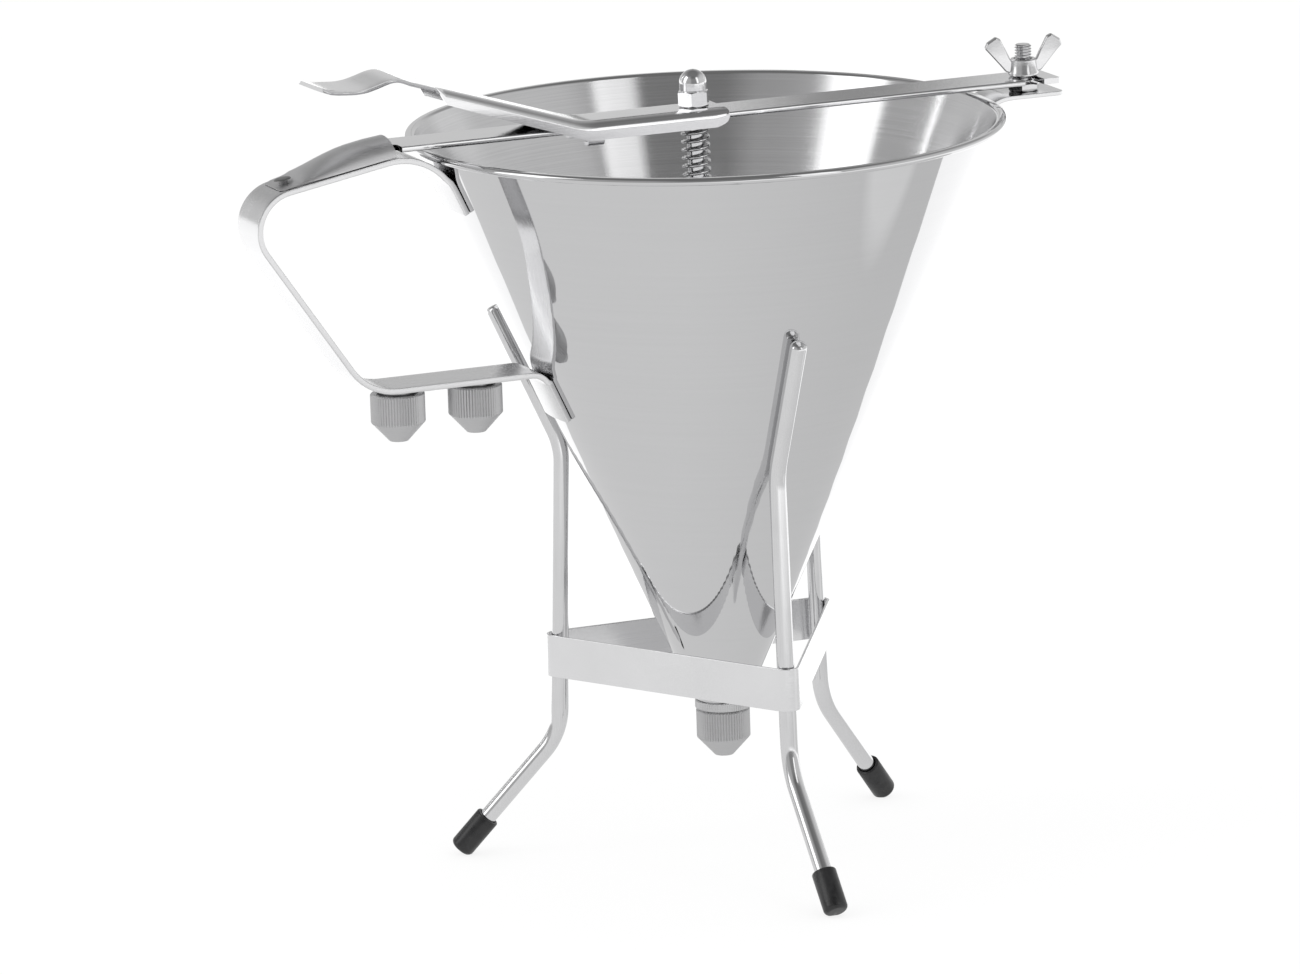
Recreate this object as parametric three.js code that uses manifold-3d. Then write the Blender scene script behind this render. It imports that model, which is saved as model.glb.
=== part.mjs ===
// Piston funnel: a steel cone on a three-legged stand. A lever on the crossbar lifts a sprung rod
// out of the outlet, and a nozzle screwed under the outlet sets the size of the portion.
// Millimetres, Z up, floor at zero. The handle points to -X and the wing nut to +X.
import * as THREE from 'three';
import { mergeVertices } from 'three/addons/utils/BufferGeometryUtils.js';
import Module from 'manifold-3d';

const wasm = await Module();
wasm.setup();
const { PI, abs, atan2, cos, hypot, max, min, round, sin, sqrt, tan } = Math;
const degrees = THREE.MathUtils.degToRad;

// Clearances
const weldGap = 0.3;
const runGap = 0.3;
const cutOverrun = 2;
const bendStep = degrees(9);

// Funnel cone, spun from sheet, with a rolled lip
const apexHeight = 36.3;
const coneAngle = degrees(24.35);
const rimHeight = 261;
const coneSheet = 1;
const lipOverhang = 2.3;
const beadRadius = 1.3;
const flareDepth = 3.6;
const throatRadius = 8.27;
const coneSides = 72;

// Outlet spout, turned, with a seat for the plug and a threaded spigot for the nozzle
const collarLap = 0.33;
const collarDepth = 3.2;
const boreRadius = 4;
const spigotRadius = 6.7;
const spigotLength = 8.5;

// Nozzles
const nozzleWall = 2.4;
const nozzleKnurl = 10;
const nozzleChamfer = 1.3;
const nozzleWaist = 7.3;
const nozzleTaper = 5.4;
const nozzleTip = 3.5;
const fittedBore = 2;
const storedBores = [1.5, 2.5];
const nozzleSides = 32;

// Handle strap
const strapWidth = 20;
const strapThickness = 2;
const tailDrop = 21.2;
const gripReach = 73.2;
const gripDrop = 10.7;
const gripSlope = degrees(10.15);
const gripRake = degrees(56.2);
const handleLegDrop = 79.7;
const lowerTail = 17.5;
const tailBend = 22;
const gripBend = 13.5;
const lowerBend = 20;
const rootBend = 6.5;

// Hood over the crossbar's tongue, with its rivet
const hoodSheet = 1;
const hoodLength = 38.5;
const hoodHeight = 6.6;
const hoodTail = 4.2;
const hoodCamber = 0.2;
const hoodShoulderShare = 8;
const hoodRiseShares = [
  [-hoodTail / hoodLength, 0],
  [0, 0],
  [0.09, 0],
  [0.15, 0.19],
  [0.28, 0.48],
  [0.46, 0.81],
  [0.66, 0.99],
  [0.82, 1],
  [1, 0.93],
];
const rivetOut = 51.5;
const rivetRadius = 1.6;
const rivetHeadRadius = 3;
const rivetHeadHeight = 1;
const rivetDomeShare = 0.8;
const rivetTailRadius = 2.6;

// Stored nozzles under the strap
const storedOut = 13.2;
const storedSpacing = 28.5;
const storedDrop = 1.4;

// Lug, stud and nuts at the free end of the crossbar
const lugThickness = 1.5;
const lugWidth = 19;
const lugTailDrop = 24;
const lugTopDrop = 0.85;
const lugSlope = degrees(2.1);
const lugReach = 32;
const lugBend = 16;
const lugCorner = 5;
const studOut = 17.2;
const studRadius = 3;
const studTip = 11.3;
const hexRadius = 5.77;
const hubRadius = 5.3;
const hubTopRadius = 4.6;
const hubHeight = 6;
const wingThickness = 1.9;
const wingSpan = 14;
const wingTop = 14.3;
const wingTurn = degrees(-9);
const wingRootShares = [0.05, 0.34];
const wingShares = [
  [0.46, 0.105],
  [1, 0.72],
  [0.94, 0.86],
  [0.72, 1],
  [0.6, 0.94],
  [0.33, 0.4],
];

// Crossbar
const barWidth = 18.8;
const barThickness = 2;
const barRise = 4.5;
const barReach = 27;
const shoulderOut = 11.6;
const tongueLength = 9;
const tongueWidth = 6.6;
const barSlotWidth = 7.2;

// Lever, folded from sheet over the crossbar
const leverSheet = 1.4;
const leverDepth = 6.2;
const leverPivot = 48;
const leverOverhang = 8.6;
const leverRake = degrees(17.8);
const leverTravel = degrees(13);
const flangeRun = 58;
const flangeFade = 6;
const paddleLength = 37.4;
const paddleWave = 3.4;
const paddleTipRadius = 11;
const leverCorner = 2.2;
const cornerShare = 0.45;
const innerCornerShare = 0.25;
const innerSideShare = 0.97;
const flangeFootShare = 0.85;
const paddleSheetShare = 1.1;
const paddleTipShare = 0.3;
const toeShares = [
  [0, 0.55],
  [0.11, 0.85],
  [0.5, 1],
];
const flangeShares = [
  [0.5, 0.86],
  [1, 0.7],
];
const fadeShares = [0.45, 0.45];
const paddleShares = [
  [0, 0],
  [0.08, 0.37],
  [0.145, 0.51],
  [0.227, 0.4],
  [0.33, 0.07],
  [0.433, -0.22],
  [0.527, -0.31],
  [0.615, -0.26],
  [0.765, -0.09],
  [0.88, 0.36],
  [0.95, 0.7],
  [1, 0.94],
];
const tabLength = 6;
const tabDrop = 2;
const tabFold = 3;

// Rod, plug, spring and dome nut, which lean a little to the handle
const rodRadius = 3;
const rodLean = 4;
const plugPlay = 1.77;
const plugCylinder = 2.8;
const plugTaper = 4;
const plugNeck = 4.4;
const springRadius = 4.6;
const wireRadius = 0.55;
const springLength = 56;
const springCurls = 19;
const springCollarRadius = 6;
const springCollarHeight = 5;
const endTurnShare = 0.7;
const endRiseShare = 1.75;
const hexHeight = 5;
const domeRadius = 4.75;
const domeHeight = 7.5;

// Stand
const legRadius = 3;
const legReach = 56.8;
const splayShare = 0.037;
const prongHeight = 197;
const ankleHeight = 44.1;
const ankleAngle = degrees(49);
const legBend = 25;
const bandHeight = 65;
const bandDepth = 15;
const bandSheet = 1;
const capWall = 1;
const capLength = 15.5;
const capFloor = 1.5;
const capRound = 1;
const capFlat = 0.6;
const legSides = 12;

// Sizes worked out from the ones above
const coneRadiusAt = (height) => (height - apexHeight) * tan(coneAngle);
const besideCone = (height, away) => coneRadiusAt(height) + away / cos(coneAngle);
const outletHeight = apexHeight + (throatRadius + coneSheet / cos(coneAngle)) / tan(coneAngle);
const rimReach = coneRadiusAt(rimHeight) + lipOverhang;
const barTop = rimHeight + barRise;
const barBottom = barTop - barThickness;
const collarRadius = coneRadiusAt(outletHeight) + collarLap;
const collarTop = outletHeight - weldGap;
const collarBottom = collarTop - collarDepth;
const spigotBottom = collarBottom - spigotLength;
const seatHeight = collarTop - (throatRadius - boreRadius);
const plugRadius = throatRadius - plugPlay;
const nozzleRadius = spigotRadius + runGap + nozzleWall;
const nozzleLength = nozzleKnurl + nozzleChamfer + nozzleTaper;
const handleLegHeight = rimHeight - handleLegDrop;
const studPlace = rimReach + studOut;
const leverTop = barTop + runGap + leverSheet;
const leverHalfWidth = barWidth / 2 + runGap + leverSheet;
const leanAngle = atan2(rodLean, barTop - seatHeight);

// Materials
function steel(name, shade, roughness) {
  return new THREE.MeshStandardMaterial({ name, color: shade, roughness, metalness: 1 });
}
const polished = steel('polished_steel', 0xd6d7d8, 0.12);
const brushed = steel('brushed_steel', 0xc4c5c6, 0.34);
const satin = steel('satin_steel', 0xb2b3b4, 0.42);
const bright = steel('bright_fasteners', 0xcfd0d1, 0.2);
const grey = steel('nozzle_grey', 0xa4a4a4, 0.5);
const black = new THREE.MeshStandardMaterial({ name: 'black_rubber', color: 0x141414, roughness: 0.35 });

const model = new THREE.Group();

function piece(name, geometry, material, parent = model) {
  const mesh = new THREE.Mesh(geometry, material.clone());
  mesh.name = name;
  parent.add(mesh);
  return mesh;
}

function toSolid(geometry) {
  const bare = geometry.clone();
  bare.deleteAttribute('normal');
  bare.deleteAttribute('uv');
  const merged = mergeVertices(bare);
  const corners = merged.index.array;
  const triangles = [];
  for (let i = 0; i < corners.length; i += 3) {
    const [a, b, c] = [corners[i], corners[i + 1], corners[i + 2]];
    if (a !== b && b !== c && c !== a) triangles.push(a, b, c);
  }
  const vertProperties = new Float32Array(merged.attributes.position.array);
  const triVerts = new Uint32Array(triangles);
  return new wasm.Manifold(new wasm.Mesh({ numProp: 3, vertProperties, triVerts }));
}

function toGeometry(solid) {
  const mesh = solid.getMesh();
  const geometry = new THREE.BufferGeometry();
  geometry.setAttribute('position', new THREE.BufferAttribute(new Float32Array(mesh.vertProperties), 3));
  geometry.setIndex(new THREE.BufferAttribute(new Uint32Array(mesh.triVerts), 1));
  geometry.computeVertexNormals();
  return geometry;
}

// A body turned about the Z axis from [radius, height] points, closed on itself or on the axis
function turned(profile, sides) {
  const points = profile.map(([radius, height]) => new THREE.Vector2(radius, height));
  if (THREE.ShapeUtils.area(points) < 0) points.reverse();
  const onAxis = points[0].x === 0 && points[points.length - 1].x === 0;
  if (!onAxis) points.push(points[0].clone());
  return new THREE.LatheGeometry(points, sides).rotateX(PI / 2);
}

// A plate or prism standing on the height bottom, from an outline in X and Y
function prism(outline, bottom, height, holes = []) {
  const shape = new THREE.Shape(outline.map(([x, y]) => new THREE.Vector2(x, y)));
  for (const hole of holes) shape.holes.push(new THREE.Path(hole.map(([x, y]) => new THREE.Vector2(x, y))));
  return new THREE.ExtrudeGeometry(shape, { depth: height, bevelEnabled: false }).translate(0, 0, bottom);
}

function arc(x, y, radius, from, to, steps) {
  const points = [];
  for (let i = 0; i <= steps; i += 1) {
    const angle = from + ((to - from) * i) / steps;
    points.push([x + radius * cos(angle), y + radius * sin(angle)]);
  }
  return points;
}

function circle(x, y, radius, sides) {
  return arc(x, y, radius, 0, 2 * PI, sides).slice(0, sides);
}

// The corners [x, z, bend radius] of a folded strip's middle line, with every bend as an arc
function filleted(corners) {
  const points = [corners[0].slice(0, 2)];
  for (let i = 1; i < corners.length - 1; i += 1) {
    const [x, z, radius] = corners[i];
    const before = new THREE.Vector2(corners[i - 1][0] - x, corners[i - 1][1] - z).normalize();
    const after = new THREE.Vector2(corners[i + 1][0] - x, corners[i + 1][1] - z).normalize();
    const half = Math.acos(before.dot(after)) / 2;
    const middle = before.clone().add(after).normalize();
    const centre = middle.multiplyScalar(radius / sin(half)).add(new THREE.Vector2(x, z));
    const start = before.multiplyScalar(radius / tan(half)).add(new THREE.Vector2(x, z)).sub(centre);
    const end = after.multiplyScalar(radius / tan(half)).add(new THREE.Vector2(x, z)).sub(centre);
    const turn = atan2(start.cross(end), start.dot(end));
    const steps = max(3, round(abs(turn) / bendStep));
    points.push(...arc(centre.x, centre.y, radius, start.angle(), start.angle() + turn, steps));
  }
  points.push(corners[corners.length - 1].slice(0, 2));
  return points;
}

function offsetLine(points, away) {
  return points.map(([x, z], i) => {
    const [x0, z0] = points[max(i - 1, 0)];
    const [x1, z1] = points[min(i + 1, points.length - 1)];
    const length = hypot(x1 - x0, z1 - z0);
    return [x - (away * (z1 - z0)) / length, z + (away * (x1 - x0)) / length];
  });
}

// A flat strip folded along a line in X and Z, its width lying along Y
function strip(line, thickness, width) {
  const outline = [...offsetLine(line, thickness / 2), ...offsetLine(line, -thickness / 2).reverse()];
  return prism(outline, -width / 2, width).rotateX(PI / 2);
}

// A path through chosen stations, so that a tube has its rings exactly there
class Stations extends THREE.Curve {
  constructor(points) {
    super();
    this.points = points;
  }

  getPoint(share) {
    return this.points[round(share * (this.points.length - 1))].clone();
  }

  getPointAt(share) {
    return this.getPoint(share);
  }

  getTangentAt(share) {
    const i = round(share * (this.points.length - 1));
    const next = this.points[min(i + 1, this.points.length - 1)];
    return next.clone().sub(this.points[max(i - 1, 0)]).normalize();
  }
}

function tube(points, radius, sides) {
  const section = new THREE.Shape(circle(0, 0, radius, sides).map(([x, y]) => new THREE.Vector2(x, y)));
  const options = { steps: points.length - 1, extrudePath: new Stations(points), bevelEnabled: false };
  return new THREE.ExtrudeGeometry(section, options);
}

// A closed skin over cross sections of equally many points. They run clockwise, seen looking along
// the row, and flat gives a section's points in a plane for its lid.
function lidOf(section, flat) {
  const points = section.map(flat);
  const turn = Math.sign(THREE.ShapeUtils.area(points));
  return THREE.ShapeUtils.triangulateShape(points, []).map(([a, b, c]) => {
    const same = Math.sign(THREE.ShapeUtils.area([points[a], points[b], points[c]])) === turn;
    return same ? [a, b, c] : [c, b, a];
  });
}
function loft(sections, flat) {
  const count = sections[0].length;
  const last = sections.length - 1;
  const index = [];
  for (let i = 0; i < last; i += 1) {
    for (let j = 0; j < count; j += 1) {
      const a = i * count + j;
      const b = i * count + ((j + 1) % count);
      index.push(a, b + count, b, a, a + count, b + count);
    }
  }
  for (const [a, b, c] of lidOf(sections[0], flat)) index.push(a, b, c);
  const end = last * count;
  for (const [a, b, c] of lidOf(sections[last], flat)) index.push(end + c, end + b, end + a);
  const geometry = new THREE.BufferGeometry();
  const positions = sections.flat().flatMap((point) => point.toArray());
  geometry.setAttribute('position', new THREE.Float32BufferAttribute(positions, 3));
  geometry.setIndex(index);
  geometry.computeVertexNormals();
  return geometry;
}

// Funnel cone
function makeCone() {
  const bead = arc(rimReach - beadRadius, rimHeight - beadRadius, beadRadius, degrees(-60), degrees(90), 5);
  const profile = [
    [coneRadiusAt(outletHeight), outletHeight],
    [coneRadiusAt(rimHeight - flareDepth), rimHeight - flareDepth],
    ...bead,
    [besideCone(rimHeight - beadRadius / 2, -coneSheet) + coneSheet, rimHeight - beadRadius / 2],
    [besideCone(rimHeight - flareDepth, -coneSheet), rimHeight - flareDepth],
    [throatRadius, outletHeight],
  ];
  return turned(profile, coneSides);
}
piece('funnel_cone', makeCone(), polished);

// Outlet spout: its collar is welded to the cone, and the nozzle screws on its spigot
function makeSpout() {
  return turned([
    [boreRadius, spigotBottom],
    [spigotRadius, spigotBottom],
    [spigotRadius, collarBottom],
    [collarRadius, collarBottom],
    [collarRadius, collarTop],
    [throatRadius, collarTop],
    [boreRadius, seatHeight],
  ], nozzleSides);
}
piece('outlet_spout', makeSpout(), grey);

// Nozzle: a knurled cap with a tapered tip, here with its mouth at height zero
function makeNozzle(bore) {
  const socket = spigotLength + runGap;
  return turned([
    [nozzleTip, -nozzleLength],
    [nozzleWaist, -nozzleLength + nozzleTaper],
    [nozzleRadius, -nozzleKnurl],
    [nozzleRadius, 0],
    [spigotRadius + runGap, 0],
    [spigotRadius + runGap, -socket],
    [boreRadius, -socket],
    [bore, -nozzleLength + nozzleTaper / 2],
    [bore, -nozzleLength],
  ], nozzleSides);
}
piece('nozzle_fitted', makeNozzle(fittedBore), grey).position.z = collarBottom - runGap;

// Handle strap: welded to the cone by a tail at each end
function conePoint(height, away) {
  return [-besideCone(height, away), height];
}
function crossing([x0, z0], angle0, [x1, z1], angle1) {
  const run = ((x1 - x0) * sin(angle1) - (z1 - z0) * cos(angle1)) / sin(angle1 - angle0);
  return [x0 + run * cos(angle0), z0 + run * sin(angle0)];
}
const strapAway = weldGap + strapThickness / 2;
const coneRise = PI / 2 + coneAngle;
const gripCorner = [-(rimReach + gripReach), rimHeight - gripDrop];
const strapMiddle = handleLegHeight;
const tailCorner = crossing(gripCorner, gripSlope, conePoint(rimHeight, strapAway), coneRise);
const legCorner = crossing(gripCorner, PI - gripRake, [0, strapMiddle], 0);
const rootCorner = conePoint(strapMiddle, strapAway);
const strapLine = filleted([
  conePoint(rimHeight - tailDrop, strapAway),
  [...tailCorner, tailBend],
  [...gripCorner, gripBend],
  [...legCorner, lowerBend],
  [...rootCorner, rootBend],
  conePoint(strapMiddle - lowerTail, strapAway),
]);

// The hood and its rivet stand square to the strap's top leg, so they share a turned group.
// Its origin is on the strap's top face under the rivet, with X running up the leg to the funnel.
const rivetPlace = -(rimReach + rivetOut);
const seatRise = (rivetPlace - gripCorner[0]) * tan(gripSlope) + strapThickness / 2 / cos(gripSlope);
const hoodSeat = new THREE.Group();
hoodSeat.position.set(rivetPlace, 0, gripCorner[1] + seatRise);
hoodSeat.rotation.y = -gripSlope;
model.add(hoodSeat);
hoodSeat.updateMatrixWorld(true);

function makeStrap() {
  const body = toSolid(strip(strapLine, strapThickness, strapWidth));
  const hole = circle(0, 0, rivetRadius + runGap, 16);
  const drill = prism(hole, -strapThickness - cutOverrun, strapThickness + 2 * cutOverrun);
  return toGeometry(body.subtract(toSolid(drill.applyMatrix4(hoodSeat.matrixWorld))));
}
piece('handle_strap', makeStrap(), satin);

// Hood: a strip pressed to a half tube at its mouth and left flat at its riveted tail
function hoodSection(place, rise, halfWidth) {
  const crown = hoodSheet + rise * (hoodHeight - hoodSheet);
  const steps = 12;
  const outer = [];
  const inner = [];
  for (let i = 0; i <= steps; i += 1) {
    const angle = (PI * i) / steps;
    const width = cos(angle) * (1 + (1 - rise) * sin(angle) * sin(angle) / 2);
    const height = max(sin(angle), (1 - rise) * min(1, hoodShoulderShare * sin(angle)));
    const foot = weldGap + hoodCamber * sin(angle);
    const hollow = height * (crown - hoodSheet);
    outer.push(new THREE.Vector3(place, -width * halfWidth, foot + height * crown));
    inner.push(new THREE.Vector3(place, -width * (halfWidth - hoodSheet), foot + hollow));
  }
  return [...outer, ...inner.reverse()];
}
function makeHood() {
  const sections = hoodRiseShares.map(([share, rise], i) => {
    const halfWidth = i === 0 ? strapWidth / 2 - hoodTail / 2 : strapWidth / 2;
    return hoodSection(share * hoodLength, rise, halfWidth);
  });
  const body = toSolid(loft(sections, (point) => new THREE.Vector2(-point.y, point.z)));
  const hole = circle(0, 0, rivetRadius + runGap, 16);
  const drill = toSolid(prism(hole, -cutOverrun, hoodSheet + 2 * cutOverrun));
  return toGeometry(body.subtract(drill));
}
piece('hood', makeHood(), satin, hoodSeat);

function makeRivet() {
  const headFoot = weldGap + hoodSheet + hoodCamber + weldGap;
  const tailFoot = -strapThickness - weldGap;
  return turned([
    [0, tailFoot - rivetHeadHeight],
    [rivetTailRadius, tailFoot - rivetHeadHeight / 2],
    [rivetTailRadius, tailFoot],
    [rivetRadius, tailFoot],
    [rivetRadius, headFoot],
    [rivetHeadRadius, headFoot],
    [rivetHeadRadius * rivetDomeShare, headFoot + rivetHeadHeight / 2],
    [0, headFoot + rivetHeadHeight * rivetDomeShare],
  ], 16);
}
piece('hood_rivet', makeRivet(), satin, hoodSeat);

// Two more nozzles are kept screwed on studs under the strap
storedBores.forEach((bore, i) => {
  const place = -(rimReach + storedOut) + i * storedSpacing;
  const underStrap = handleLegHeight - strapThickness / 2;
  const studTop = underStrap - weldGap;
  const mouth = underStrap - storedDrop;
  const studFoot = mouth - spigotLength;
  const stud = circle(place, 0, spigotRadius, 20);
  piece(`nozzle_stud_${i + 1}`, prism(stud, studFoot, studTop - studFoot), satin);
  piece(`nozzle_stored_${i + 1}`, makeNozzle(bore), grey).position.set(place, 0, mouth);
});

// Lug: welded under the lip, it comes out flat to carry the stud
const lugAway = weldGap + lugThickness / 2;
const lugMiddleAtStud = rimHeight - lugTopDrop - lugThickness / 2;
const lugMiddle = (x) => lugMiddleAtStud + (x - studPlace) * tan(lugSlope);
const lugCone = [besideCone(rimHeight, lugAway), rimHeight];
const lugCorner0 = crossing([studPlace, lugMiddleAtStud], lugSlope, lugCone, PI / 2 - coneAngle);
const lugEnd = rimReach + lugReach;
function makeLug() {
  const tailHeight = rimHeight - lugTailDrop;
  const line = filleted([
    [besideCone(tailHeight, lugAway), tailHeight],
    [...lugCorner0, lugBend],
    [lugEnd, lugMiddle(lugEnd)],
  ]);
  const half = lugWidth / 2;
  const plan = [
    [0, -half - cutOverrun],
    [studPlace, -half - cutOverrun],
    ...arc(lugEnd - lugCorner, -half + lugCorner, lugCorner, degrees(-90), 0, 5),
    ...arc(lugEnd - lugCorner, half - lugCorner, lugCorner, 0, degrees(90), 5),
    [studPlace, half + cutOverrun],
    [0, half + cutOverrun],
  ];
  const drill = circle(studPlace, 0, studRadius + runGap, 16);
  const blank = toSolid(strip(line, lugThickness, lugWidth));
  return toGeometry(blank.intersect(toSolid(prism(plan, 0, 2 * rimHeight, [drill]))));
}
piece('stud_lug', makeLug(), polished);

const studFoot = lugMiddleAtStud - lugThickness / 2;
const studRing = circle(studPlace, 0, studRadius, 16);
piece('clamp_stud', prism(studRing, studFoot, barTop + studTip - studFoot), bright);

const nutFoot = lugMiddleAtStud + lugThickness / 2 + weldGap + hexRadius * tan(lugSlope);
const nutHole = circle(studPlace, 0, studRadius + runGap, 16);
const nutHex = circle(studPlace, 0, hexRadius, 6);
piece('jam_nut', prism(nutHex, nutFoot, barBottom - weldGap - nutFoot, [nutHole]), bright);

// Wing nut
function makeWingNut() {
  const hub = toSolid(turned([
    [studRadius + runGap, 0],
    [hubRadius, 0],
    [hubRadius, hubHeight / 4],
    [hubTopRadius, hubHeight],
    [studRadius + runGap, hubHeight],
  ], 16));
  const inner = studRadius + 2 * runGap;
  const [rootFootShare, rootTopShare] = wingRootShares;
  const wing = [
    [inner, wingTop * rootFootShare],
    ...wingShares.map(([out, up]) => [wingSpan * out, wingTop * up]),
    [inner, wingTop * rootTopShare],
  ];
  const plate = toSolid(prism(wing, -wingThickness / 2, wingThickness).rotateX(PI / 2));
  const other = toSolid(prism(wing, -wingThickness / 2, wingThickness).rotateX(PI / 2).rotateZ(PI));
  return toGeometry(hub.add(plate).add(other));
}
const wingNut = piece('wing_nut', makeWingNut(), bright);
wingNut.position.set(studPlace, 0, barTop + weldGap);
wingNut.rotation.z = wingTurn;

// Crossbar: a tongue at one end goes under the hood, and a slot at the other takes the stud
function makeCrossbar() {
  const half = barWidth / 2;
  const left = -(rimReach + shoulderOut);
  const right = rimReach + barReach;
  const slotHalf = barSlotWidth / 2;
  const outline = [
    [left, -half],
    [studPlace - slotHalf, -half],
    ...arc(studPlace, 0, slotHalf, PI, 0, 8),
    [studPlace + slotHalf, -half],
    [right, -half],
    [right, half],
    [left, half],
    [left, tongueWidth / 2],
    [left - tongueLength, tongueWidth / 2],
    [left - tongueLength, -tongueWidth / 2],
    [left, -tongueWidth / 2],
  ];
  return prism(outline, barBottom, barThickness, [circle(-rodLean, 0, rodRadius + 2 * runGap, 20)]);
}
piece('crossbar', makeCrossbar(), polished);

// Lever: a channel over the crossbar that flattens out into a thumb paddle
function leverSection([x, z], angle, halfWidth, depth) {
  const corner = min(leverCorner, depth * cornerShare);
  const innerCorner = leverSheet * innerCornerShare;
  const side = -min(depth * innerSideShare, leverSheet + innerCorner);
  const innerFoot = halfWidth - leverSheet * flangeFootShare;
  const outline = [
    [-halfWidth, -depth],
    ...arc(-halfWidth + corner, -corner, corner, PI, PI / 2, 3),
    ...arc(halfWidth - corner, -corner, corner, PI / 2, 0, 3),
    [halfWidth, -depth],
    [innerFoot, -depth],
    [halfWidth - leverSheet, side],
    [halfWidth - leverSheet - innerCorner, -leverSheet],
    [-halfWidth + leverSheet + innerCorner, -leverSheet],
    [-halfWidth + leverSheet, side],
    [-innerFoot, -depth],
  ];
  return outline.map(([y, up]) => new THREE.Vector3(x - up * sin(angle), -y, z + up * cos(angle)));
}
function leverStations() {
  const toe = leverOverhang - rodLean;
  const bend = leverPivot;
  const [fadeRunShare, fadeDepthShare] = fadeShares;
  return [
    ...toeShares.map(([along, deep]) => [-toe + leverDepth * along, 0, leverDepth * deep]),
    [bend - leverDepth / 2, 0, leverDepth],
    [bend, leverRake / 2, leverDepth],
    [bend + leverDepth / 2, leverRake, leverDepth],
    ...flangeShares.map(([along, deep]) => [bend + flangeRun * along, leverRake, leverDepth * deep]),
    [bend + flangeRun + flangeFade * fadeRunShare, leverRake, leverDepth * fadeDepthShare],
  ];
}
function makeLever() {
  const rise = (out) => leverTop + max(0, out - leverPivot) * tan(leverRake);
  const sections = leverStations().map(([out, angle, depth]) => {
    return leverSection([-out, rise(out)], -angle, leverHalfWidth, depth);
  });
  const start = leverPivot + flangeRun + flangeFade;
  const crest = rise(start);
  const points = paddleShares.map(([share, up]) => [start + share * paddleLength, crest + up * paddleWave]);
  points.forEach(([out, height], i) => {
    const [out0, height0] = i === 0 ? [start - flangeFade, rise(start - flangeFade)] : points[i - 1];
    const [out1, height1] = points[min(i + 1, points.length - 1)];
    const angle = atan2(height1 - height0, out1 - out0);
    const past = max(0, out - (start + paddleLength - paddleTipRadius)) / paddleTipRadius;
    const halfWidth = leverHalfWidth * max(sqrt(1 - min(past * past, 1)), paddleTipShare);
    sections.push(leverSection([-out, height], -angle, halfWidth, leverSheet * paddleSheetShare));
  });
  const body = toSolid(loft(sections, (point) => new THREE.Vector2(point.y, point.z)));
  const arm = leverPivot - rodLean;
  const slack = arm * (1 / cos(leverTravel) - 1) + (runGap + leverSheet) * tan(leverTravel);
  const slotRadius = rodRadius + (3 * runGap) / 2;
  const slot = [
    ...arc(-rodLean, 0, slotRadius, PI / 2, (3 * PI) / 2, 8),
    ...arc(-rodLean + slack + runGap, 0, slotRadius, -PI / 2, PI / 2, 8),
  ];
  return body.subtract(toSolid(prism(slot, barTop, leverSheet + 2 * cutOverrun)));
}
// Two tabs at the fulcrum fold in under the crossbar and keep the lever on it
function makeTab(side) {
  const top = leverTop - leverDepth + leverSheet;
  const foot = leverTop - leverDepth - tabDrop;
  const outer = leverHalfWidth;
  const inner = leverHalfWidth - leverSheet;
  const outline = [
    [outer, top],
    [inner, top],
    [inner, foot + leverSheet],
    [inner - tabFold, foot + leverSheet],
    [inner - tabFold, foot],
    [outer - leverSheet / 2, foot],
    [outer, foot + leverSheet / 2],
  ].map(([y, z]) => [side * y, z]);
  const bar = prism(outline, 0, tabLength).rotateX(PI / 2).rotateZ(PI / 2);
  return toSolid(bar.translate(-leverPivot, 0, 0));
}
const lever = makeLever().add(makeTab(1)).add(makeTab(-1));
piece('lever', toGeometry(lever), polished);

// The rod and what it carries lean to the handle, so they share a turned group at the seat
const rodLine = new THREE.Group();
rodLine.position.z = seatHeight;
rodLine.rotation.y = -leanAngle;
model.add(rodLine);
const alongRod = (height) => (height - seatHeight) / cos(leanAngle);
const plugFoot = runGap * sqrt(2);
const plugShoulder = plugFoot + plugRadius - boreRadius;
const plugTop = plugShoulder + plugCylinder + plugTaper;
const socketFloor = plugShoulder - plugCylinder / 2;
const nutSeat = alongRod(leverTop) + runGap + (hexRadius * sin(leanAngle));
const rodTop = nutSeat + hexHeight + runGap;

piece('valve_plug', turned([
  [0, -runGap],
  [boreRadius - 2 * runGap, -runGap],
  [boreRadius - 2 * runGap, plugFoot - 2 * runGap],
  [plugRadius, plugShoulder],
  [plugRadius, plugShoulder + plugCylinder],
  [plugNeck, plugTop],
  [rodRadius + runGap, plugTop],
  [rodRadius + runGap, socketFloor],
  [0, socketFloor],
], 24), satin, rodLine);

const rodFoot = socketFloor + runGap;
piece('piston_rod', prism(circle(0, 0, rodRadius, 16), rodFoot, rodTop - rodFoot), polished, rodLine);

const springTop = alongRod(barBottom) - weldGap;
const springFoot = springTop - springLength;
const springCollarTop = springFoot - weldGap;
piece('spring_collar', turned([
  [rodRadius + runGap, springCollarTop - springCollarHeight],
  [springCollarRadius, springCollarTop - springCollarHeight],
  [springCollarRadius, springCollarTop],
  [rodRadius + runGap, springCollarTop],
], 24), bright, rodLine);

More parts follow.
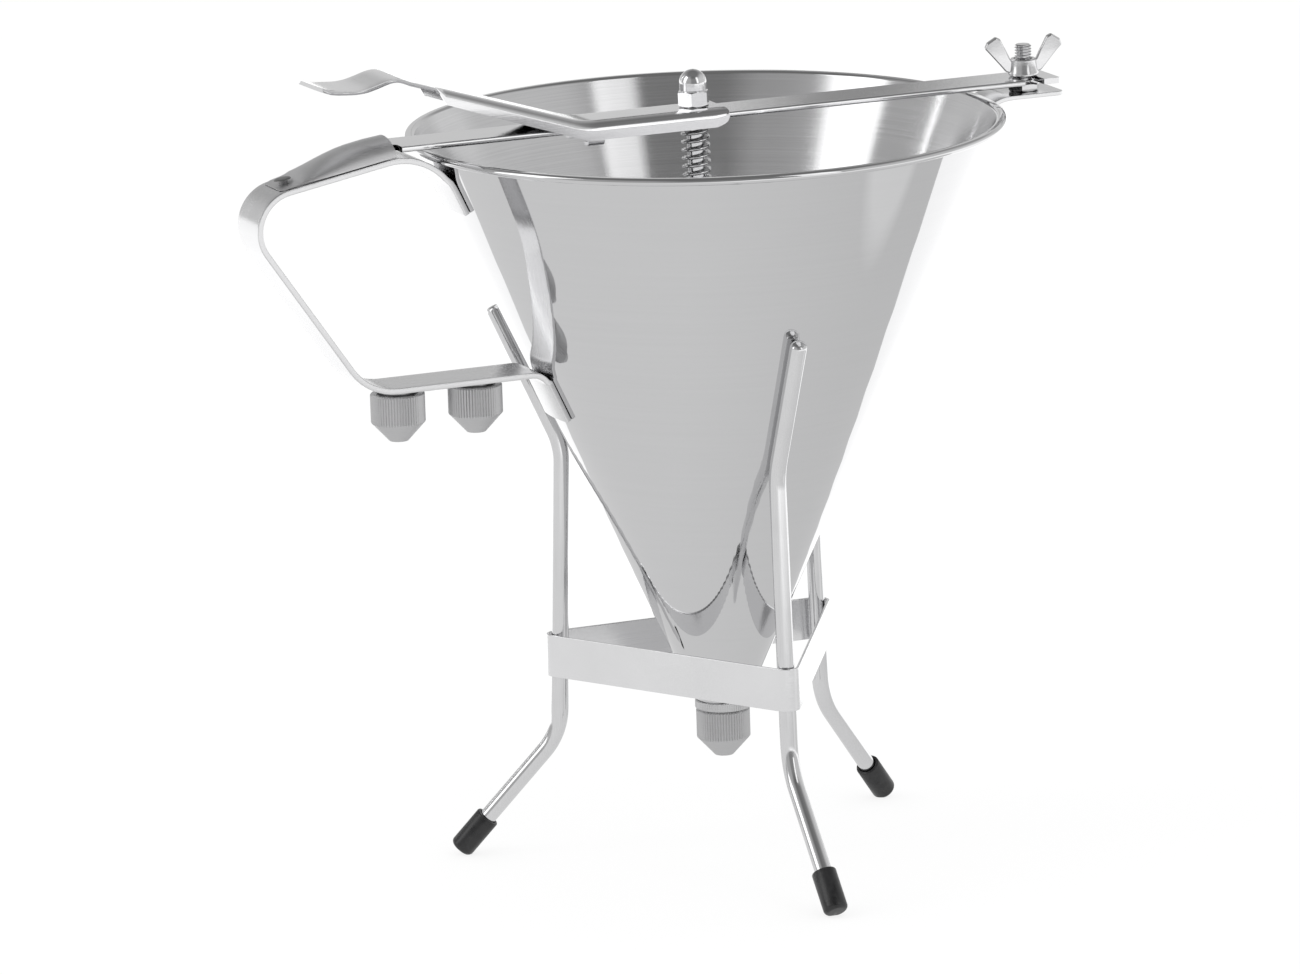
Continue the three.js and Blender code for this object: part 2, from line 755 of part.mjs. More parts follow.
// Spring: one wire, whose two ends turn straight on to the crossbar and the collar
function springLine() {
  const wire = 2 * wireRadius;
  const stepsPerCurl = 8;
  const steps = springCurls * stepsPerCurl;
  const coilFoot = springFoot + 2 * wire;
  const pitch = (springLength - 4 * wire) / springCurls;
  const points = [];
  const at = (turns, height) => {
    const angle = 2 * PI * turns;
    points.push(new THREE.Vector3(springRadius * cos(angle), springRadius * sin(angle), height));
  };
  const lead = 1 / (2 * stepsPerCurl);
  at(-lead, springFoot);
  at(-lead, springFoot + wire);
  at(-lead * endTurnShare, springFoot + wire * endRiseShare);
  for (let i = 0; i <= steps; i += 1) at(i / stepsPerCurl, coilFoot + (pitch * i) / stepsPerCurl);
  at(springCurls + lead * endTurnShare, springFoot + springLength - wire * endRiseShare);
  at(springCurls + lead, springFoot + springLength - wire);
  at(springCurls + lead, springFoot + springLength);
  return points;
}
const springPoints = springLine();
piece('return_spring', tube(springPoints, wireRadius, 5), bright, rodLine);

// Least gap of the spring's wire to itself, between points at least half a curl apart
let springGap = Infinity;
springPoints.forEach((point, i) => {
  for (let j = i + 5; j < springPoints.length; j += 1) {
    springGap = min(springGap, point.distanceTo(springPoints[j]) - 2 * wireRadius);
  }
});
console.log(`least gap of the spring to itself: ${springGap.toFixed(2)} mm`);

// Dome nut, with a blind thread over the rod's end
function makeDomeNut() {
  const drillTop = rodTop + runGap;
  const top = nutSeat + hexHeight;
  const hex = toSolid(prism(circle(0, 0, hexRadius, 6), nutSeat, hexHeight).rotateZ(PI / 6));
  const dome = toSolid(turned([
    [0, top - hexHeight / 2],
    [domeRadius, top - hexHeight / 2],
    ...arc(0, top + domeHeight - domeRadius, domeRadius, 0, PI / 2, 6).slice(0, -1),
    [0, top + domeHeight],
  ], 24));
  const chamfer = toSolid(turned([
    [0, nutSeat],
    [domeRadius, nutSeat],
    [hexRadius, nutSeat + (hexRadius - domeRadius) / 2],
    [hexRadius, top - (hexRadius - domeRadius) / 2],
    [domeRadius, top],
    [0, top],
  ], 24));
  const drillFoot = nutSeat - cutOverrun;
  const drill = prism(circle(0, 0, rodRadius + runGap, 16), drillFoot, drillTop - drillFoot);
  return toGeometry(hex.intersect(chamfer).add(dome).subtract(toSolid(drill)));
}
piece('dome_nut', makeDomeNut(), bright, rodLine);

// Stand: three bent rods, tied by a triangular band, with a rubber cap on each foot
const bandMiddle = bandHeight + bandDepth / 2;
const legAt = (height) => legReach + (bandMiddle - height) * splayShare;
const prongAway = weldGap + legRadius;
const shankAngle = PI / 2 + Math.atan(splayShare);
const ankle = [legAt(ankleHeight), ankleHeight];
const kneeCone = [besideCone(prongHeight, prongAway), prongHeight];
const knee = crossing(ankle, shankAngle, kneeCone, PI / 2 - coneAngle);
const capRadius = legRadius + runGap + capWall;
const capEnd = (capRadius - capRound) * cos(ankleAngle) + capRound * (1 - sin(ankleAngle)) - capFlat;
const footAt = (height) => [ankle[0] + (ankleHeight - height) / tan(ankleAngle), height];
const legEndHeight = capEnd + (capFloor + weldGap) * sin(ankleAngle);
const legLine = filleted([kneeCone, [...knee, legBend], [...ankle, legBend], footAt(legEndHeight)]);

function makeCap() {
  const floorEdge = arc(capRadius - capRound, -capRound, capRound, 0, PI / 2, 3);
  const profile = [
    [0, 0],
    [0, -capFloor],
    [legRadius + runGap, -capFloor],
    [legRadius + runGap, -capLength],
    [capRadius, -capLength],
    ...floorEdge,
  ];
  const [x, z] = footAt(capEnd);
  const cap = turned(profile, 20).rotateY(PI / 2 + ankleAngle).translate(x, 0, z);
  const reach = x + capLength;
  const above = prism([[0, -reach], [reach, -reach], [reach, reach], [0, reach]], 0, reach);
  return toGeometry(toSolid(cap).intersect(toSolid(above)));
}
['leg_back_right', 'leg_back_left', 'leg_front'].forEach((name, i) => {
  const turn = degrees(30) + (i * 2 * PI) / 3;
  const path = legLine.map(([r, z]) => new THREE.Vector3(r, 0, z));
  piece(name, tube(path, legRadius, legSides), polished).rotation.z = turn;
  piece(name.replace('leg', 'foot_cap'), makeCap(), black).rotation.z = turn;
});

function makeBand() {
  const corner = legRadius + weldGap + (splayShare * bandDepth) / 2;
  const ring = (radius) => {
    return [0, 1, 2].flatMap((i) => {
      const turn = degrees(30) + (i * 2 * PI) / 3;
      const [x, y] = [legReach * cos(turn), legReach * sin(turn)];
      return arc(x, y, radius, turn - PI / 3, turn + PI / 3, 8);
    });
  };
  return prism(ring(corner + bandSheet), bandHeight, bandDepth, [ring(corner)]);
}
piece('stand_band', makeBand(), brushed);

// The frame's origin is on the floor, under the middle of the whole object's box
model.updateMatrixWorld(true);
const extent = new THREE.Box3().setFromObject(model, true);
model.position.x = -(extent.min.x + extent.max.x) / 2;
model.position.y = -(extent.min.y + extent.max.y) / 2;
model.updateMatrixWorld(true);

export default model;
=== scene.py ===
import math

import bmesh
import bpy
from mathutils import Matrix, Vector


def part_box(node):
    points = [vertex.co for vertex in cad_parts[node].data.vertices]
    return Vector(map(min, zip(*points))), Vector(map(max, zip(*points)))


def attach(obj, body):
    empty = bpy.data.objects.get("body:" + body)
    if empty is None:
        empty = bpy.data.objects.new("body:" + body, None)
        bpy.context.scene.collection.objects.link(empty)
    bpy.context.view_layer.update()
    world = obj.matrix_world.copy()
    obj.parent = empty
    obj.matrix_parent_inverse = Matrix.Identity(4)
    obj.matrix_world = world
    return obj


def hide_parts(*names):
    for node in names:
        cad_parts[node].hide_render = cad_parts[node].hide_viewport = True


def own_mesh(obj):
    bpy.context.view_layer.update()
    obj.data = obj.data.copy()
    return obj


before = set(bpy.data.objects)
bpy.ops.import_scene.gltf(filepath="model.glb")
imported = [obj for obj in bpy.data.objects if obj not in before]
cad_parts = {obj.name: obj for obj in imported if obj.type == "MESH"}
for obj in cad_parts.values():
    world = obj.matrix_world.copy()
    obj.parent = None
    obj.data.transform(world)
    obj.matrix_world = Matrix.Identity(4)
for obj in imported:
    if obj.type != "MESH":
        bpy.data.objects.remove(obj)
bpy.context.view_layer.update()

# Funnel cone. Stainless sheet spun over a chuck, polished to a mirror outside and left with the
# brushing round its axis inside. The lip is rolled outwards into a small bead.
mm = 0.001
cone_low, cone_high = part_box("funnel_cone")
axis_x = (cone_low.x + cone_high.x) / 2
cone_angle = math.radians(24.35)
cone_apex = 36.3
rim_height = 261
rim_reach = 103.99
cone_foot = 57
throat_radius = 8.27
cone_shoulder = 258
shoulder_bend = 0.7
lip_inside = 100.59
lip_bend = 1.6
bead_radius = 1.3


def eased(corners, step=7):
    """A bent line through its corners (x, z, bend radius), with each bend as an arc in short steps."""
    line = [Vector(corners[0][:2])]
    for before, corner, after in zip(corners, corners[1:], corners[2:]):
        here = Vector(corner[:2])
        if len(corner) < 3:
            line.append(here)
            continue
        back = (Vector(before[:2]) - here).normalized()
        on = (Vector(after[:2]) - here).normalized()
        half = back.angle(on) / 2
        centre = here + (back + on).normalized() * corner[2] / math.sin(half)
        start = here + back * corner[2] / math.tan(half) - centre
        end = here + on * corner[2] / math.tan(half) - centre
        turn = math.atan2(start.x * end.y - start.y * end.x, start.dot(end))
        steps = max(3, round(abs(math.degrees(turn)) / step))
        for i in range(steps + 1):
            line.append(centre + Matrix.Rotation(turn * i / steps, 2) @ start)
    line.append(Vector(corners[-1][:2]))
    return [(point.x, point.y) for point in line]


def mode(kind):
    """Goes into edit mode or back to object mode."""
    bpy.ops.object.mode_set(mode=kind)


def smoothed(crease):
    """Smooths the active piece, but for edges that turn by more than the crease."""
    bpy.ops.object.shade_smooth_by_angle(angle=math.radians(crease))


def scaled(x, y, z, about=(0, 0, 0)):
    """Scales what is selected about a point."""
    bpy.ops.transform.resize(value=(x, y, z), center_override=about)


def drawn(name, points):
    """Starts a piece in edit mode: one point, drawn on as edges through the points, in mm."""
    bpy.ops.mesh.primitive_plane_add(size=2 * mm, location=(0, 0, 0))
    bpy.context.object.name = name
    mode("EDIT")
    bpy.ops.mesh.select_mode(type="VERT")
    bpy.ops.mesh.select_all(action="SELECT")
    bpy.ops.mesh.merge(type="CENTER")
    bpy.ops.transform.translate(value=[c * mm for c in points[0]])
    for before, after in zip(points, points[1:]):
        move = [(b - a) * mm for a, b in zip(before, after)]
        bpy.ops.mesh.extrude_vertices_move(TRANSFORM_OT_translate={"value": move})
    bpy.ops.mesh.select_all(action="SELECT")
    return bpy.context.object


def pulled(x, y, z):
    """Extrudes what is selected by a move in mm."""
    bpy.ops.mesh.extrude_region_move(TRANSFORM_OT_translate={"value": (x * mm, y * mm, z * mm)})


def alone(piece):
    """Makes a piece the only selected one."""
    bpy.ops.object.select_all(action="DESELECT")
    piece.select_set(True)
    bpy.context.view_layer.objects.active = piece


def sewn(piece, crease=32):
    """Closes seams and poles, turns the faces outwards and smooths all but the real edges."""
    bpy.ops.mesh.select_all(action="SELECT")
    bpy.ops.mesh.remove_doubles(threshold=2e-6)
    bpy.ops.mesh.normals_make_consistent(inside=False)
    mode("OBJECT")
    smoothed(crease)
    return piece


def applied(piece, kind, **settings):
    """Adds a modifier with its settings and applies it."""
    alone(piece)
    modifier = piece.modifiers.new(kind.lower(), kind)
    for name, value in settings.items():
        setattr(modifier, name, value)
    bpy.ops.object.modifier_apply(modifier=modifier.name)
    return piece


def thickened(piece, sheet, offset=0, even=True):
    """Gives a bent surface the thickness of its sheet."""
    applied(piece, "SOLIDIFY", thickness=sheet * mm, offset=offset, use_even_offset=even)


def turned(name, profile, steps, crease=32):
    """A piece turned on the lathe from its half section (radius, height), in mm."""
    piece = drawn(name, [(radius, 0, height) for radius, height in profile])
    bpy.ops.mesh.spin(steps=steps, angle=2 * math.pi, center=(0, 0, 0), axis=(0, 0, 1))
    return sewn(piece, crease)


def placed(piece, x, z, lean=0.0, turn=0.0):
    """Leans a piece about Y, turns it about Z and sets it on its place by the funnel's axis."""
    alone(piece)
    piece.rotation_euler = (0, lean, turn)
    piece.location = (x * mm + axis_x, 0, z * mm)
    bpy.ops.object.transform_apply()
    return piece


def choose(piece, test, kind="verts"):
    """Selects, in edit mode, the points, edges or faces that pass the test."""
    shape = bmesh.from_edit_mesh(piece.data)
    for part in (shape.faces, shape.edges, shape.verts):
        for each in part:
            each.select = False
    bpy.ops.mesh.select_mode(type={"verts": "VERT", "edges": "EDGE", "faces": "FACE"}[kind])
    shape = bmesh.from_edit_mesh(piece.data)
    for each in getattr(shape, kind):
        if test(each):
            each.select_set(True)
    shape.select_flush_mode()
    bmesh.update_edit_mesh(piece.data)


def cone_radius(height, away=0.0):
    """The radius of the cone's outside at a height, or of a surface that lies away from it."""
    return (height - cone_apex) * math.tan(cone_angle) + away / math.cos(cone_angle)


def node(tree, kind, settings=None, **inputs):
    """Adds a node. An input is linked from a socket or set to a value, and v0, v1 go by place."""
    made = tree.nodes.new(kind)
    for name, value in (settings or {}).items():
        setattr(made, name, value)
    for name, value in inputs.items():
        place = int(name[1:]) if name[0] == "v" and name[1:].isdigit() else name.replace("_", " ")
        if isinstance(value, bpy.types.NodeSocket):
            tree.links.new(value, made.inputs[place])
        else:
            made.inputs[place].default_value = value
    return made


def maths(tree, operation, first, *others):
    """Works through the values from left to right, two at a time."""
    for other in others:
        first = node(tree, "ShaderNodeMath", {"operation": operation}, v0=first, v1=other).outputs[0]
    return first


def times(tree, *values):
    """The values multiplied."""
    return maths(tree, "MULTIPLY", *values)


def plus(tree, *values):
    """The values added up."""
    return maths(tree, "ADD", *values)


def spread(tree, value, reach, result):
    """Maps a value's reach (from, to) to a result (from, to) and holds it at both ends."""
    (v1, v2), (v3, v4) = reach, result
    return node(tree, "ShaderNodeMapRange", v0=value, v1=v1, v2=v2, v3=v3, v4=v4).outputs[0]


def between(tree, value, low, high):
    """Spreads a shade of 0.3 to 0.7, which is what noise gives, from low to high."""
    return spread(tree, value, (0.3, 0.7), (low, high))


def bare(owner):
    """Switches on the nodes of a material or a world and clears them."""
    owner.use_nodes = True
    owner.node_tree.nodes.clear()
    return owner.node_tree


def tinted(tree, shade, dark, light):
    """A colour between two (red, green, blue), by a shade of noise."""
    mix = node(tree, "ShaderNodeMix", {"data_type": "RGBA"}, v0=between(tree, shade, 0, 1))
    mix.inputs[6].default_value = (*dark, 1)
    mix.inputs[7].default_value = (*light, 1)
    return mix.outputs[2]


def vectors(tree, operation, **inputs):
    """Works on vectors. A vector comes out first, and a length as Value."""
    return node(tree, "ShaderNodeVectorMath", {"operation": operation}, **inputs).outputs


def effect(name, **sizes):
    """Starts a node group that turns a place, by its sizes, into a shade, and gives its two ends."""
    tree = bpy.data.node_groups.new(name, "ShaderNodeTree")
    tree.interface.new_socket("Vector", in_out="INPUT", socket_type="NodeSocketVector")
    for size, value in sizes.items():
        tree.interface.new_socket(size, in_out="INPUT", socket_type="NodeSocketFloat").default_value = value
    tree.interface.new_socket("Shade", in_out="OUTPUT", socket_type="NodeSocketFloat")
    return tree, tree.nodes.new("NodeGroupInput").outputs, tree.nodes.new("NodeGroupOutput").inputs[0]


# Fine grooves round the Z axis, as a lathe or a spinning brush leaves them
rings, given, out = effect("rings_round_the_axis", Spacing=0.0004)
parts = node(rings, "ShaderNodeSeparateXYZ", Vector=given["Vector"]).outputs
flat = node(rings, "ShaderNodeCombineXYZ", X=parts["X"], Y=parts["Y"]).outputs[0]
slow = vectors(rings, "SCALE", v0=vectors(rings, "NORMALIZE", v0=flat)[0], Scale=0.8)[0]
rise = maths(rings, "DIVIDE", parts["Z"], given["Spacing"])
upward = node(rings, "ShaderNodeCombineXYZ", Z=rise).outputs[0]
where = vectors(rings, "ADD", v0=slow, v1=upward)[0]
grain = node(rings, "ShaderNodeTexNoise", Vector=where, Scale=1.0, Detail=3.0, Roughness=0.65)
rings.links.new(grain.outputs["Fac"], out)

# Fine straight scratches along X, as a belt or a rolling mill leaves them
strokes, given, out = effect("strokes_along_the_sheet", Length=0.02, Spacing=0.0003)
thin = maths(strokes, "DIVIDE", 1.0, given["Spacing"])
long = maths(strokes, "DIVIDE", 1.0, given["Length"])
shape = node(strokes, "ShaderNodeCombineXYZ", X=long, Y=thin, Z=thin).outputs[0]
where = vectors(strokes, "MULTIPLY", v0=given["Vector"], v1=shape)[0]
grain = node(strokes, "ShaderNodeTexNoise", Vector=where, Scale=1.0, Detail=3.0, Roughness=0.7)
strokes.links.new(grain.outputs["Fac"], out)

# Soft uneven patches from the polishing mop and from handling
patches, given, out = effect("polish_and_handling", Size=0.03)
small = maths(patches, "DIVIDE", 1.0, given["Size"])
where = vectors(patches, "SCALE", v0=given["Vector"], Scale=small)[0]
cloud = node(patches, "ShaderNodeTexNoise", Vector=where, Scale=1.0, Detail=2.0, Distortion=0.6)
patches.links.new(cloud.outputs["Fac"], out)


def steel(name, shade, rough, lines, centre=(0, 0, 0), turn=(0, 0, 0), patch=0.03, bump=0.02,
          stretch=0.0, swing=0.0, **sizes):
    """A steel finish. shade and rough are (from, to), and lines is the group its marks come from."""
    material = bpy.data.materials.new(name)
    tree = bare(material)
    marks_share, blue = 0.65, 1.01
    place = node(tree, "ShaderNodeTexCoord").outputs["Object"]
    spot = -(Matrix.Rotation(turn[1], 3, "Y") @ Vector(centre))
    set_out = node(tree, "ShaderNodeMapping", Vector=place, Location=spot, Rotation=turn).outputs[0]
    fine = node(tree, "ShaderNodeGroup", {"node_tree": lines}, Vector=set_out, **sizes).outputs[0]
    wide = node(tree, "ShaderNodeGroup", {"node_tree": patches}, Vector=set_out, Size=patch).outputs[0]
    both = plus(tree, times(tree, fine, marks_share), times(tree, wide, 1 - marks_share))
    relief = node(tree, "ShaderNodeBump", Height=fine, Strength=bump, Distance=0.001)
    skin = node(
        tree, "ShaderNodeBsdfPrincipled",
        Base_Color=tinted(tree, both, *((grey, grey, grey * blue) for grey in shade)),
        Metallic=1.0,
        Roughness=between(tree, both, *rough),
        Anisotropic=stretch,
        Anisotropic_Rotation=swing,
        Normal=relief.outputs[0],
    )
    node(tree, "ShaderNodeOutputMaterial", Surface=skin.outputs[0])
    return material


def clad(piece, *finish, **sizes):
    """Gives a piece a steel finish of its own."""
    piece.data.materials.append(steel(*finish, **sizes))


bead_x, bead_z = rim_reach - bead_radius, rim_height - bead_radius
bead = [
    (bead_x + bead_radius * math.cos(math.radians(a)), bead_z + bead_radius * math.sin(math.radians(a)))
    for a in range(-60, 100, 10)
]
outer_wall = eased([
    (cone_radius(cone_foot), cone_foot), (cone_radius(cone_shoulder), cone_shoulder, shoulder_bend), bead[0],
], 9)
inner_wall = eased([bead[-1], (lip_inside, rim_height, lip_bend), (throat_radius, cone_foot)], 9)
foot_edge = [(cone_radius(cone_foot), cone_foot)]
cone = turned("spun_cone", outer_wall[:-1] + bead + inner_wall[1:] + foot_edge, 192)
applied(cone, "WEIGHTED_NORMAL", keep_sharp=True, weight=80)
placed(cone, 0, 0)
axis = (axis_x, 0, 0)
clad(cone, "cone_mirror_polish", (0.605, 0.62), (0.03, 0.045), rings, axis, patch=0.06, bump=0.0012,
     Spacing=0.0015)
clad(cone, "cone_inside_brushed", (0.58, 0.70), (0.13, 0.19), rings, axis, bump=0.012, stretch=1.0,
     swing=0.25, Spacing=0.0004)
for face in cone.data.polygons:
    off_axis = Vector((face.center.x - axis_x, face.center.y, 0))
    face.material_index = 1 if face.normal.dot(off_axis) < 0 and face.center.z < bead_z * mm else 0
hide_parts("funnel_cone")
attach(cone, "funnel")

# Outlet spout. Turned from bar and welded under the cone: a collar with a milled grip, a conical
# seat for the plug inside, and a threaded spigot that the nozzle screws on to.
spout_bore = 4
spigot_radius = 6.7
spigot_foot = 45
collar_radius = 9.7
collar_foot = 53.5
collar_top = 56.7
seat_height = 52.43
collar_ribs = 144
thread_turns = 7
thread_depth = 0.6


def milled(piece, radius, low, high, steps, depth):
    """Presses every second column of a turned wall inwards, which leaves straight ribs."""
    mode("EDIT")

    def groove(point):
        x, y, z = point.co / mm
        column = round(math.atan2(y, x) / (2 * math.pi) * steps)
        return abs(math.hypot(x, y) - radius) < 0.05 and low < z < high and column % 2 == 1

    choose(piece, groove)
    share = (radius - depth) / radius
    scaled(share, share, 1)
    mode("OBJECT")
    smoothed(25)
    return piece


def ridges(foot):
    """The outline of a spigot's thread: a crest and a root for each turn, 1 mm apart."""
    crests = [(spigot_radius, foot + i) for i in range(thread_turns)]
    roots = [(spigot_radius - thread_depth, foot + 0.5 + i) for i in range(thread_turns)]
    return [point for pair in zip(crests, roots) for point in pair]


spout = turned("turned_spout", [
    (spout_bore, spigot_foot),
    (spigot_radius - thread_depth, spigot_foot),
    *ridges(spigot_foot + 0.7),
    (spigot_radius - thread_depth, collar_foot),
    (collar_radius - 0.4, collar_foot),
    (collar_radius, collar_foot + 0.4),
    (collar_radius, collar_top - 0.4),
    (collar_radius - 0.3, collar_top),
    (throat_radius, collar_top),
    (spout_bore, seat_height),
    (spout_bore, spigot_foot),
], collar_ribs, 25)
milled(spout, collar_radius, collar_foot + 0.2, collar_top - 0.2, collar_ribs, 0.22)
placed(spout, 0, 0)
clad(spout, "spout_turned_satin", (0.55, 0.68), (0.24, 0.36), rings, axis, bump=0.03, Spacing=0.0002)
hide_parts("outlet_spout")
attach(spout, "funnel")

# Nozzles. Three screw-on caps turned from bar, with a straight milled grip and a tapered tip. They
# differ in their bore only: one is on the outlet, and two are kept under the strap.
nozzle_radius = 9.4
nozzle_grip = 10
nozzle_length = 16.7
tip_radius = 3.5
bore_top = -14
socket_depth = 8.8
socket_radius = 7
grip_columns = 112
nozzle_grey = steel(
    "nozzle_grey_satin", (0.54, 0.64), (0.42, 0.56), rings, axis, patch=0.01, bump=0.03, Spacing=0.00025)
peg_places = [-117.19, -88.69]
nozzle_places = [
    ("nozzle_fitted", 2.0, 0, 53.2),
    ("nozzle_stored_1", 1.5, peg_places[0], 178.9),
    ("nozzle_stored_2", 2.5, peg_places[1], 178.9),
]
for name, bore, x, mouth in nozzle_places:
    nozzle = turned("milled_" + name, [
        (bore, -nozzle_length),
        (tip_radius - 0.2, -nozzle_length),
        (tip_radius, -nozzle_length + 0.2),
        (nozzle_radius - 0.3, -nozzle_grip - 0.4),
        (nozzle_radius, -nozzle_grip),
        (nozzle_radius, -0.5),
        (nozzle_radius - 0.5, 0),
        (socket_radius + 0.4, 0),
        (socket_radius, -0.4),
        (socket_radius, -socket_depth),
        (spout_bore, -socket_depth),
        (bore, bore_top),
        (bore, -nozzle_length),
    ], grip_columns, 28)
    milled(nozzle, nozzle_radius, -nozzle_grip - 0.1, -0.3, grip_columns, 0.36)
    placed(nozzle, x, mouth)
    nozzle.data.materials.append(nozzle_grey)
    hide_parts(name)
    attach(nozzle, name)

# Pegs for the stored nozzles. Two short threaded pegs, stud-welded under the strap.
peg_foot = 170.4
peg_length = 9.6
peg_root = spigot_radius - thread_depth
peg_steel = steel("peg_steel", (0.5, 0.6), (0.2, 0.3), rings, axis, Spacing=0.0003)
for name, x in zip(("nozzle_stud_1", "nozzle_stud_2"), peg_places):
    peg = turned("threaded_" + name, [
        (0, 0), (peg_root, 0), (peg_root, 0.4), *ridges(0.9), (peg_root, peg_length), (0, peg_length),
    ], 64)
    placed(peg, x, peg_foot)
    peg.data.materials.append(peg_steel)
    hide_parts(name)
    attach(peg, "funnel")

# Handle strap. One strip of satin steel, 20 by 2 mm, bent into an open loop, with a tail at each
# end lying along the cone and spot-welded to it.
strap_width = 20
strap_sheet = 2
strap_columns = 8
tail_away = 1.1
tail_length = 16
tail_tops_and_bends = [(252, 95), (178, 63)]
by_cone = 1.5
grip_slope = math.radians(10.15)


def edged(piece, edge, segments=2):
    """Rounds the long edges of sheet metal a little and keeps its flats flat."""
    applied(piece, "BEVEL", width=edge * mm, segments=segments, limit_method="ANGLE",
            angle_limit=math.radians(50), use_clamp_overlap=True)
    smoothed(40)
    return applied(piece, "WEIGHTED_NORMAL", keep_sharp=True, weight=80)


def cone_side(height, away):
    """A point beside the cone on the handle's side."""
    return (-cone_radius(height, away), height)


strap = drawn("folded_strap", [(x, -strap_width / 2, z) for x, z in eased([
    cone_side(239.8, tail_away),
    (-104.19, 263.37, 22),
    (-177.19, 250.3, 13.5),
    (-131.0, 181.3, 20),
    (*cone_side(181.3, tail_away), 6.5),
    cone_side(163.8, tail_away),
], 5)])
for column in range(strap_columns):
    pulled(0, strap_width / strap_columns, 0)
for column in range(strap_columns + 1):
    across = strap_width * (column / strap_columns - 0.5)
    for tail_top, bend in tail_tops_and_bends:
        def on_tail(point):
            x, y, z = point.co / mm
            on_cone = abs(x + cone_radius(z, tail_away)) < by_cone
            return abs(y - across) < 0.01 and tail_top - tail_length < z < tail_top and on_cone

        choose(strap, on_tail)
        bpy.ops.transform.translate(value=((bend - math.sqrt(bend ** 2 - across ** 2)) * mm, 0, 0))
sewn(strap)
thickened(strap, strap_sheet)
edged(strap, 0.35)
placed(strap, 0, 0)
clad(strap, "strap_satin", (0.62, 0.72), (0.2, 0.3), strokes, patch=0.02, Length=0.03, Spacing=0.0004)
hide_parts("handle_strap")
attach(strap, "funnel")

# Hood. A short strip pressed to a half tube at its open end, where the crossbar's tongue goes in,
# and left flat at its tail, which is riveted to the strap.
hood_length = 38.5
hood_height = 6.6
hood_sheet = 1
hood_rises = [
    (1, 0.93), (0.82, 1), (0.66, 0.99), (0.56, 0.93), (0.46, 0.81), (0.37, 0.66), (0.28, 0.48),
    (0.21, 0.33), (0.15, 0.19), (0.11, 0.09), (0.06, 0.03), (-0.03, 0.02),
]
hood_widths = [(-0.03, 1), (-0.07, 0.96), (-0.095, 0.87), (-0.109, 0.78)]
pressed_thin = [(0.13, 0.7), (0.08, 0.7), (0, 0.6), (-0.05, 0.4)]
hood_foot = 0.3
hood_settle = 0.08
half_turn = [math.radians(180 - 9 * i) for i in range(21)]
hollow = (hood_height - hood_sheet) * hood_rises[0][1]
half_width = strap_width / 2 - hood_sheet
hood = drawn("pressed_hood", [
    (hood_length, half_width * math.cos(a), hood_foot + hollow * math.sin(a)) for a in half_turn
])
for (share, rise), (next_share, next_rise) in zip(hood_rises, hood_rises[1:]):
    pulled((next_share - share) * hood_length, 0, 0)
    scaled(1, 1, next_rise / rise, (0, 0, hood_foot * mm))
for (share, wide), (next_share, next_wide) in zip(hood_widths, hood_widths[1:]):
    pulled((next_share - share) * hood_length, 0, 0)
    scaled(1, next_wide / wide, 1)
sewn(hood)
up = sum(face.normal.z * face.area for face in hood.data.polygons)
thickened(hood, hood_sheet, math.copysign(1, up))
mode("EDIT")
for share, thinner in pressed_thin:
    choose(hood, lambda v: v.co.x / mm < share * hood_length)
    scaled(1, 1, thinner)
bpy.ops.transform.translate(value=(0, 0, -hood_settle * mm))
choose(hood, lambda v: v.co.x > 0 and v.co.z / mm < hood_foot + 0.02 and abs(v.co.y / mm) > half_width - 0.2)
scaled(1, 1, 0.1)
mode("OBJECT")
edged(hood, 0.18)
rivet_place = (-155.49, 255.20)
placed(hood, *rivet_place, lean=-grip_slope)
clad(hood, "hood_satin", (0.66, 0.76), (0.40, 0.52), strokes, patch=0.008, bump=0.03, Length=0.012,
     Spacing=0.0003)
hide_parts("hood")
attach(hood, "funnel")

# Rivet. A steel rivet with a low oval head on the hood's tail, set through the strap.
rivet_shank = 1.6
rivet_top = 2.25
rivet = turned("oval_rivet", [
    (0, -3.3), (1.5, -3.25), (2.3, -3.0), (2.6, -2.6), (2.6, -2.3), (rivet_shank, -2.3),
    (rivet_shank, 1.8), (3.0, 1.8), (2.95, 1.95), (2.6, 2.1), (1.9, 2.2), (1.0, 2.24), (0, rivet_top),
], 48, 50)
placed(rivet, *rivet_place, lean=-grip_slope)
clad(rivet, "rivet_head", (0.22, 0.32), (0.36, 0.48), strokes, patch=0.002, bump=0.04, Length=0.003,
     Spacing=0.0004)
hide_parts("hood_rivet")
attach(rivet, "funnel")

# Lug. A strip of sheet welded under the lip opposite the handle, bent out flat with rounded
# corners, and drilled for the stud.
lug_slope = math.radians(2.1)
lug_sheet = 1.5
lug_width = 19
lug_end = 132.6
stud_x = 121.19
lug_middle = 259.4
lug_foot = 237
lug_away = 1.05
lug_bend = 16
lug_corner = 2.5


def lug_height(x):
    """The height of the lug's flat end, which rises a little outwards."""
    return lug_middle + (x - stud_x) * math.tan(lug_slope)


rise = math.tan(lug_slope)
bend_height = (lug_height(0) - rise * cone_radius(0, lug_away)) / (1 - rise * math.tan(cone_angle))
lug = drawn("folded_lug", [(x, -lug_width / 2, z) for x, z in eased([
    (cone_radius(lug_foot, lug_away), lug_foot),
    (cone_radius(bend_height, lug_away), bend_height, lug_bend),
    (lug_end, lug_height(lug_end)),
], 5)])
pulled(0, lug_width, 0)
sewn(lug)
thickened(lug, lug_sheet)


def at_corner(edge):
    ends = [v.co / mm for v in edge.verts]
    outside = all(x > lug_end - 1 and abs(abs(y) - lug_width / 2) < 0.1 for x, y, z in ends)
    return outside and abs(ends[0].y - ends[1].y) < 0.01


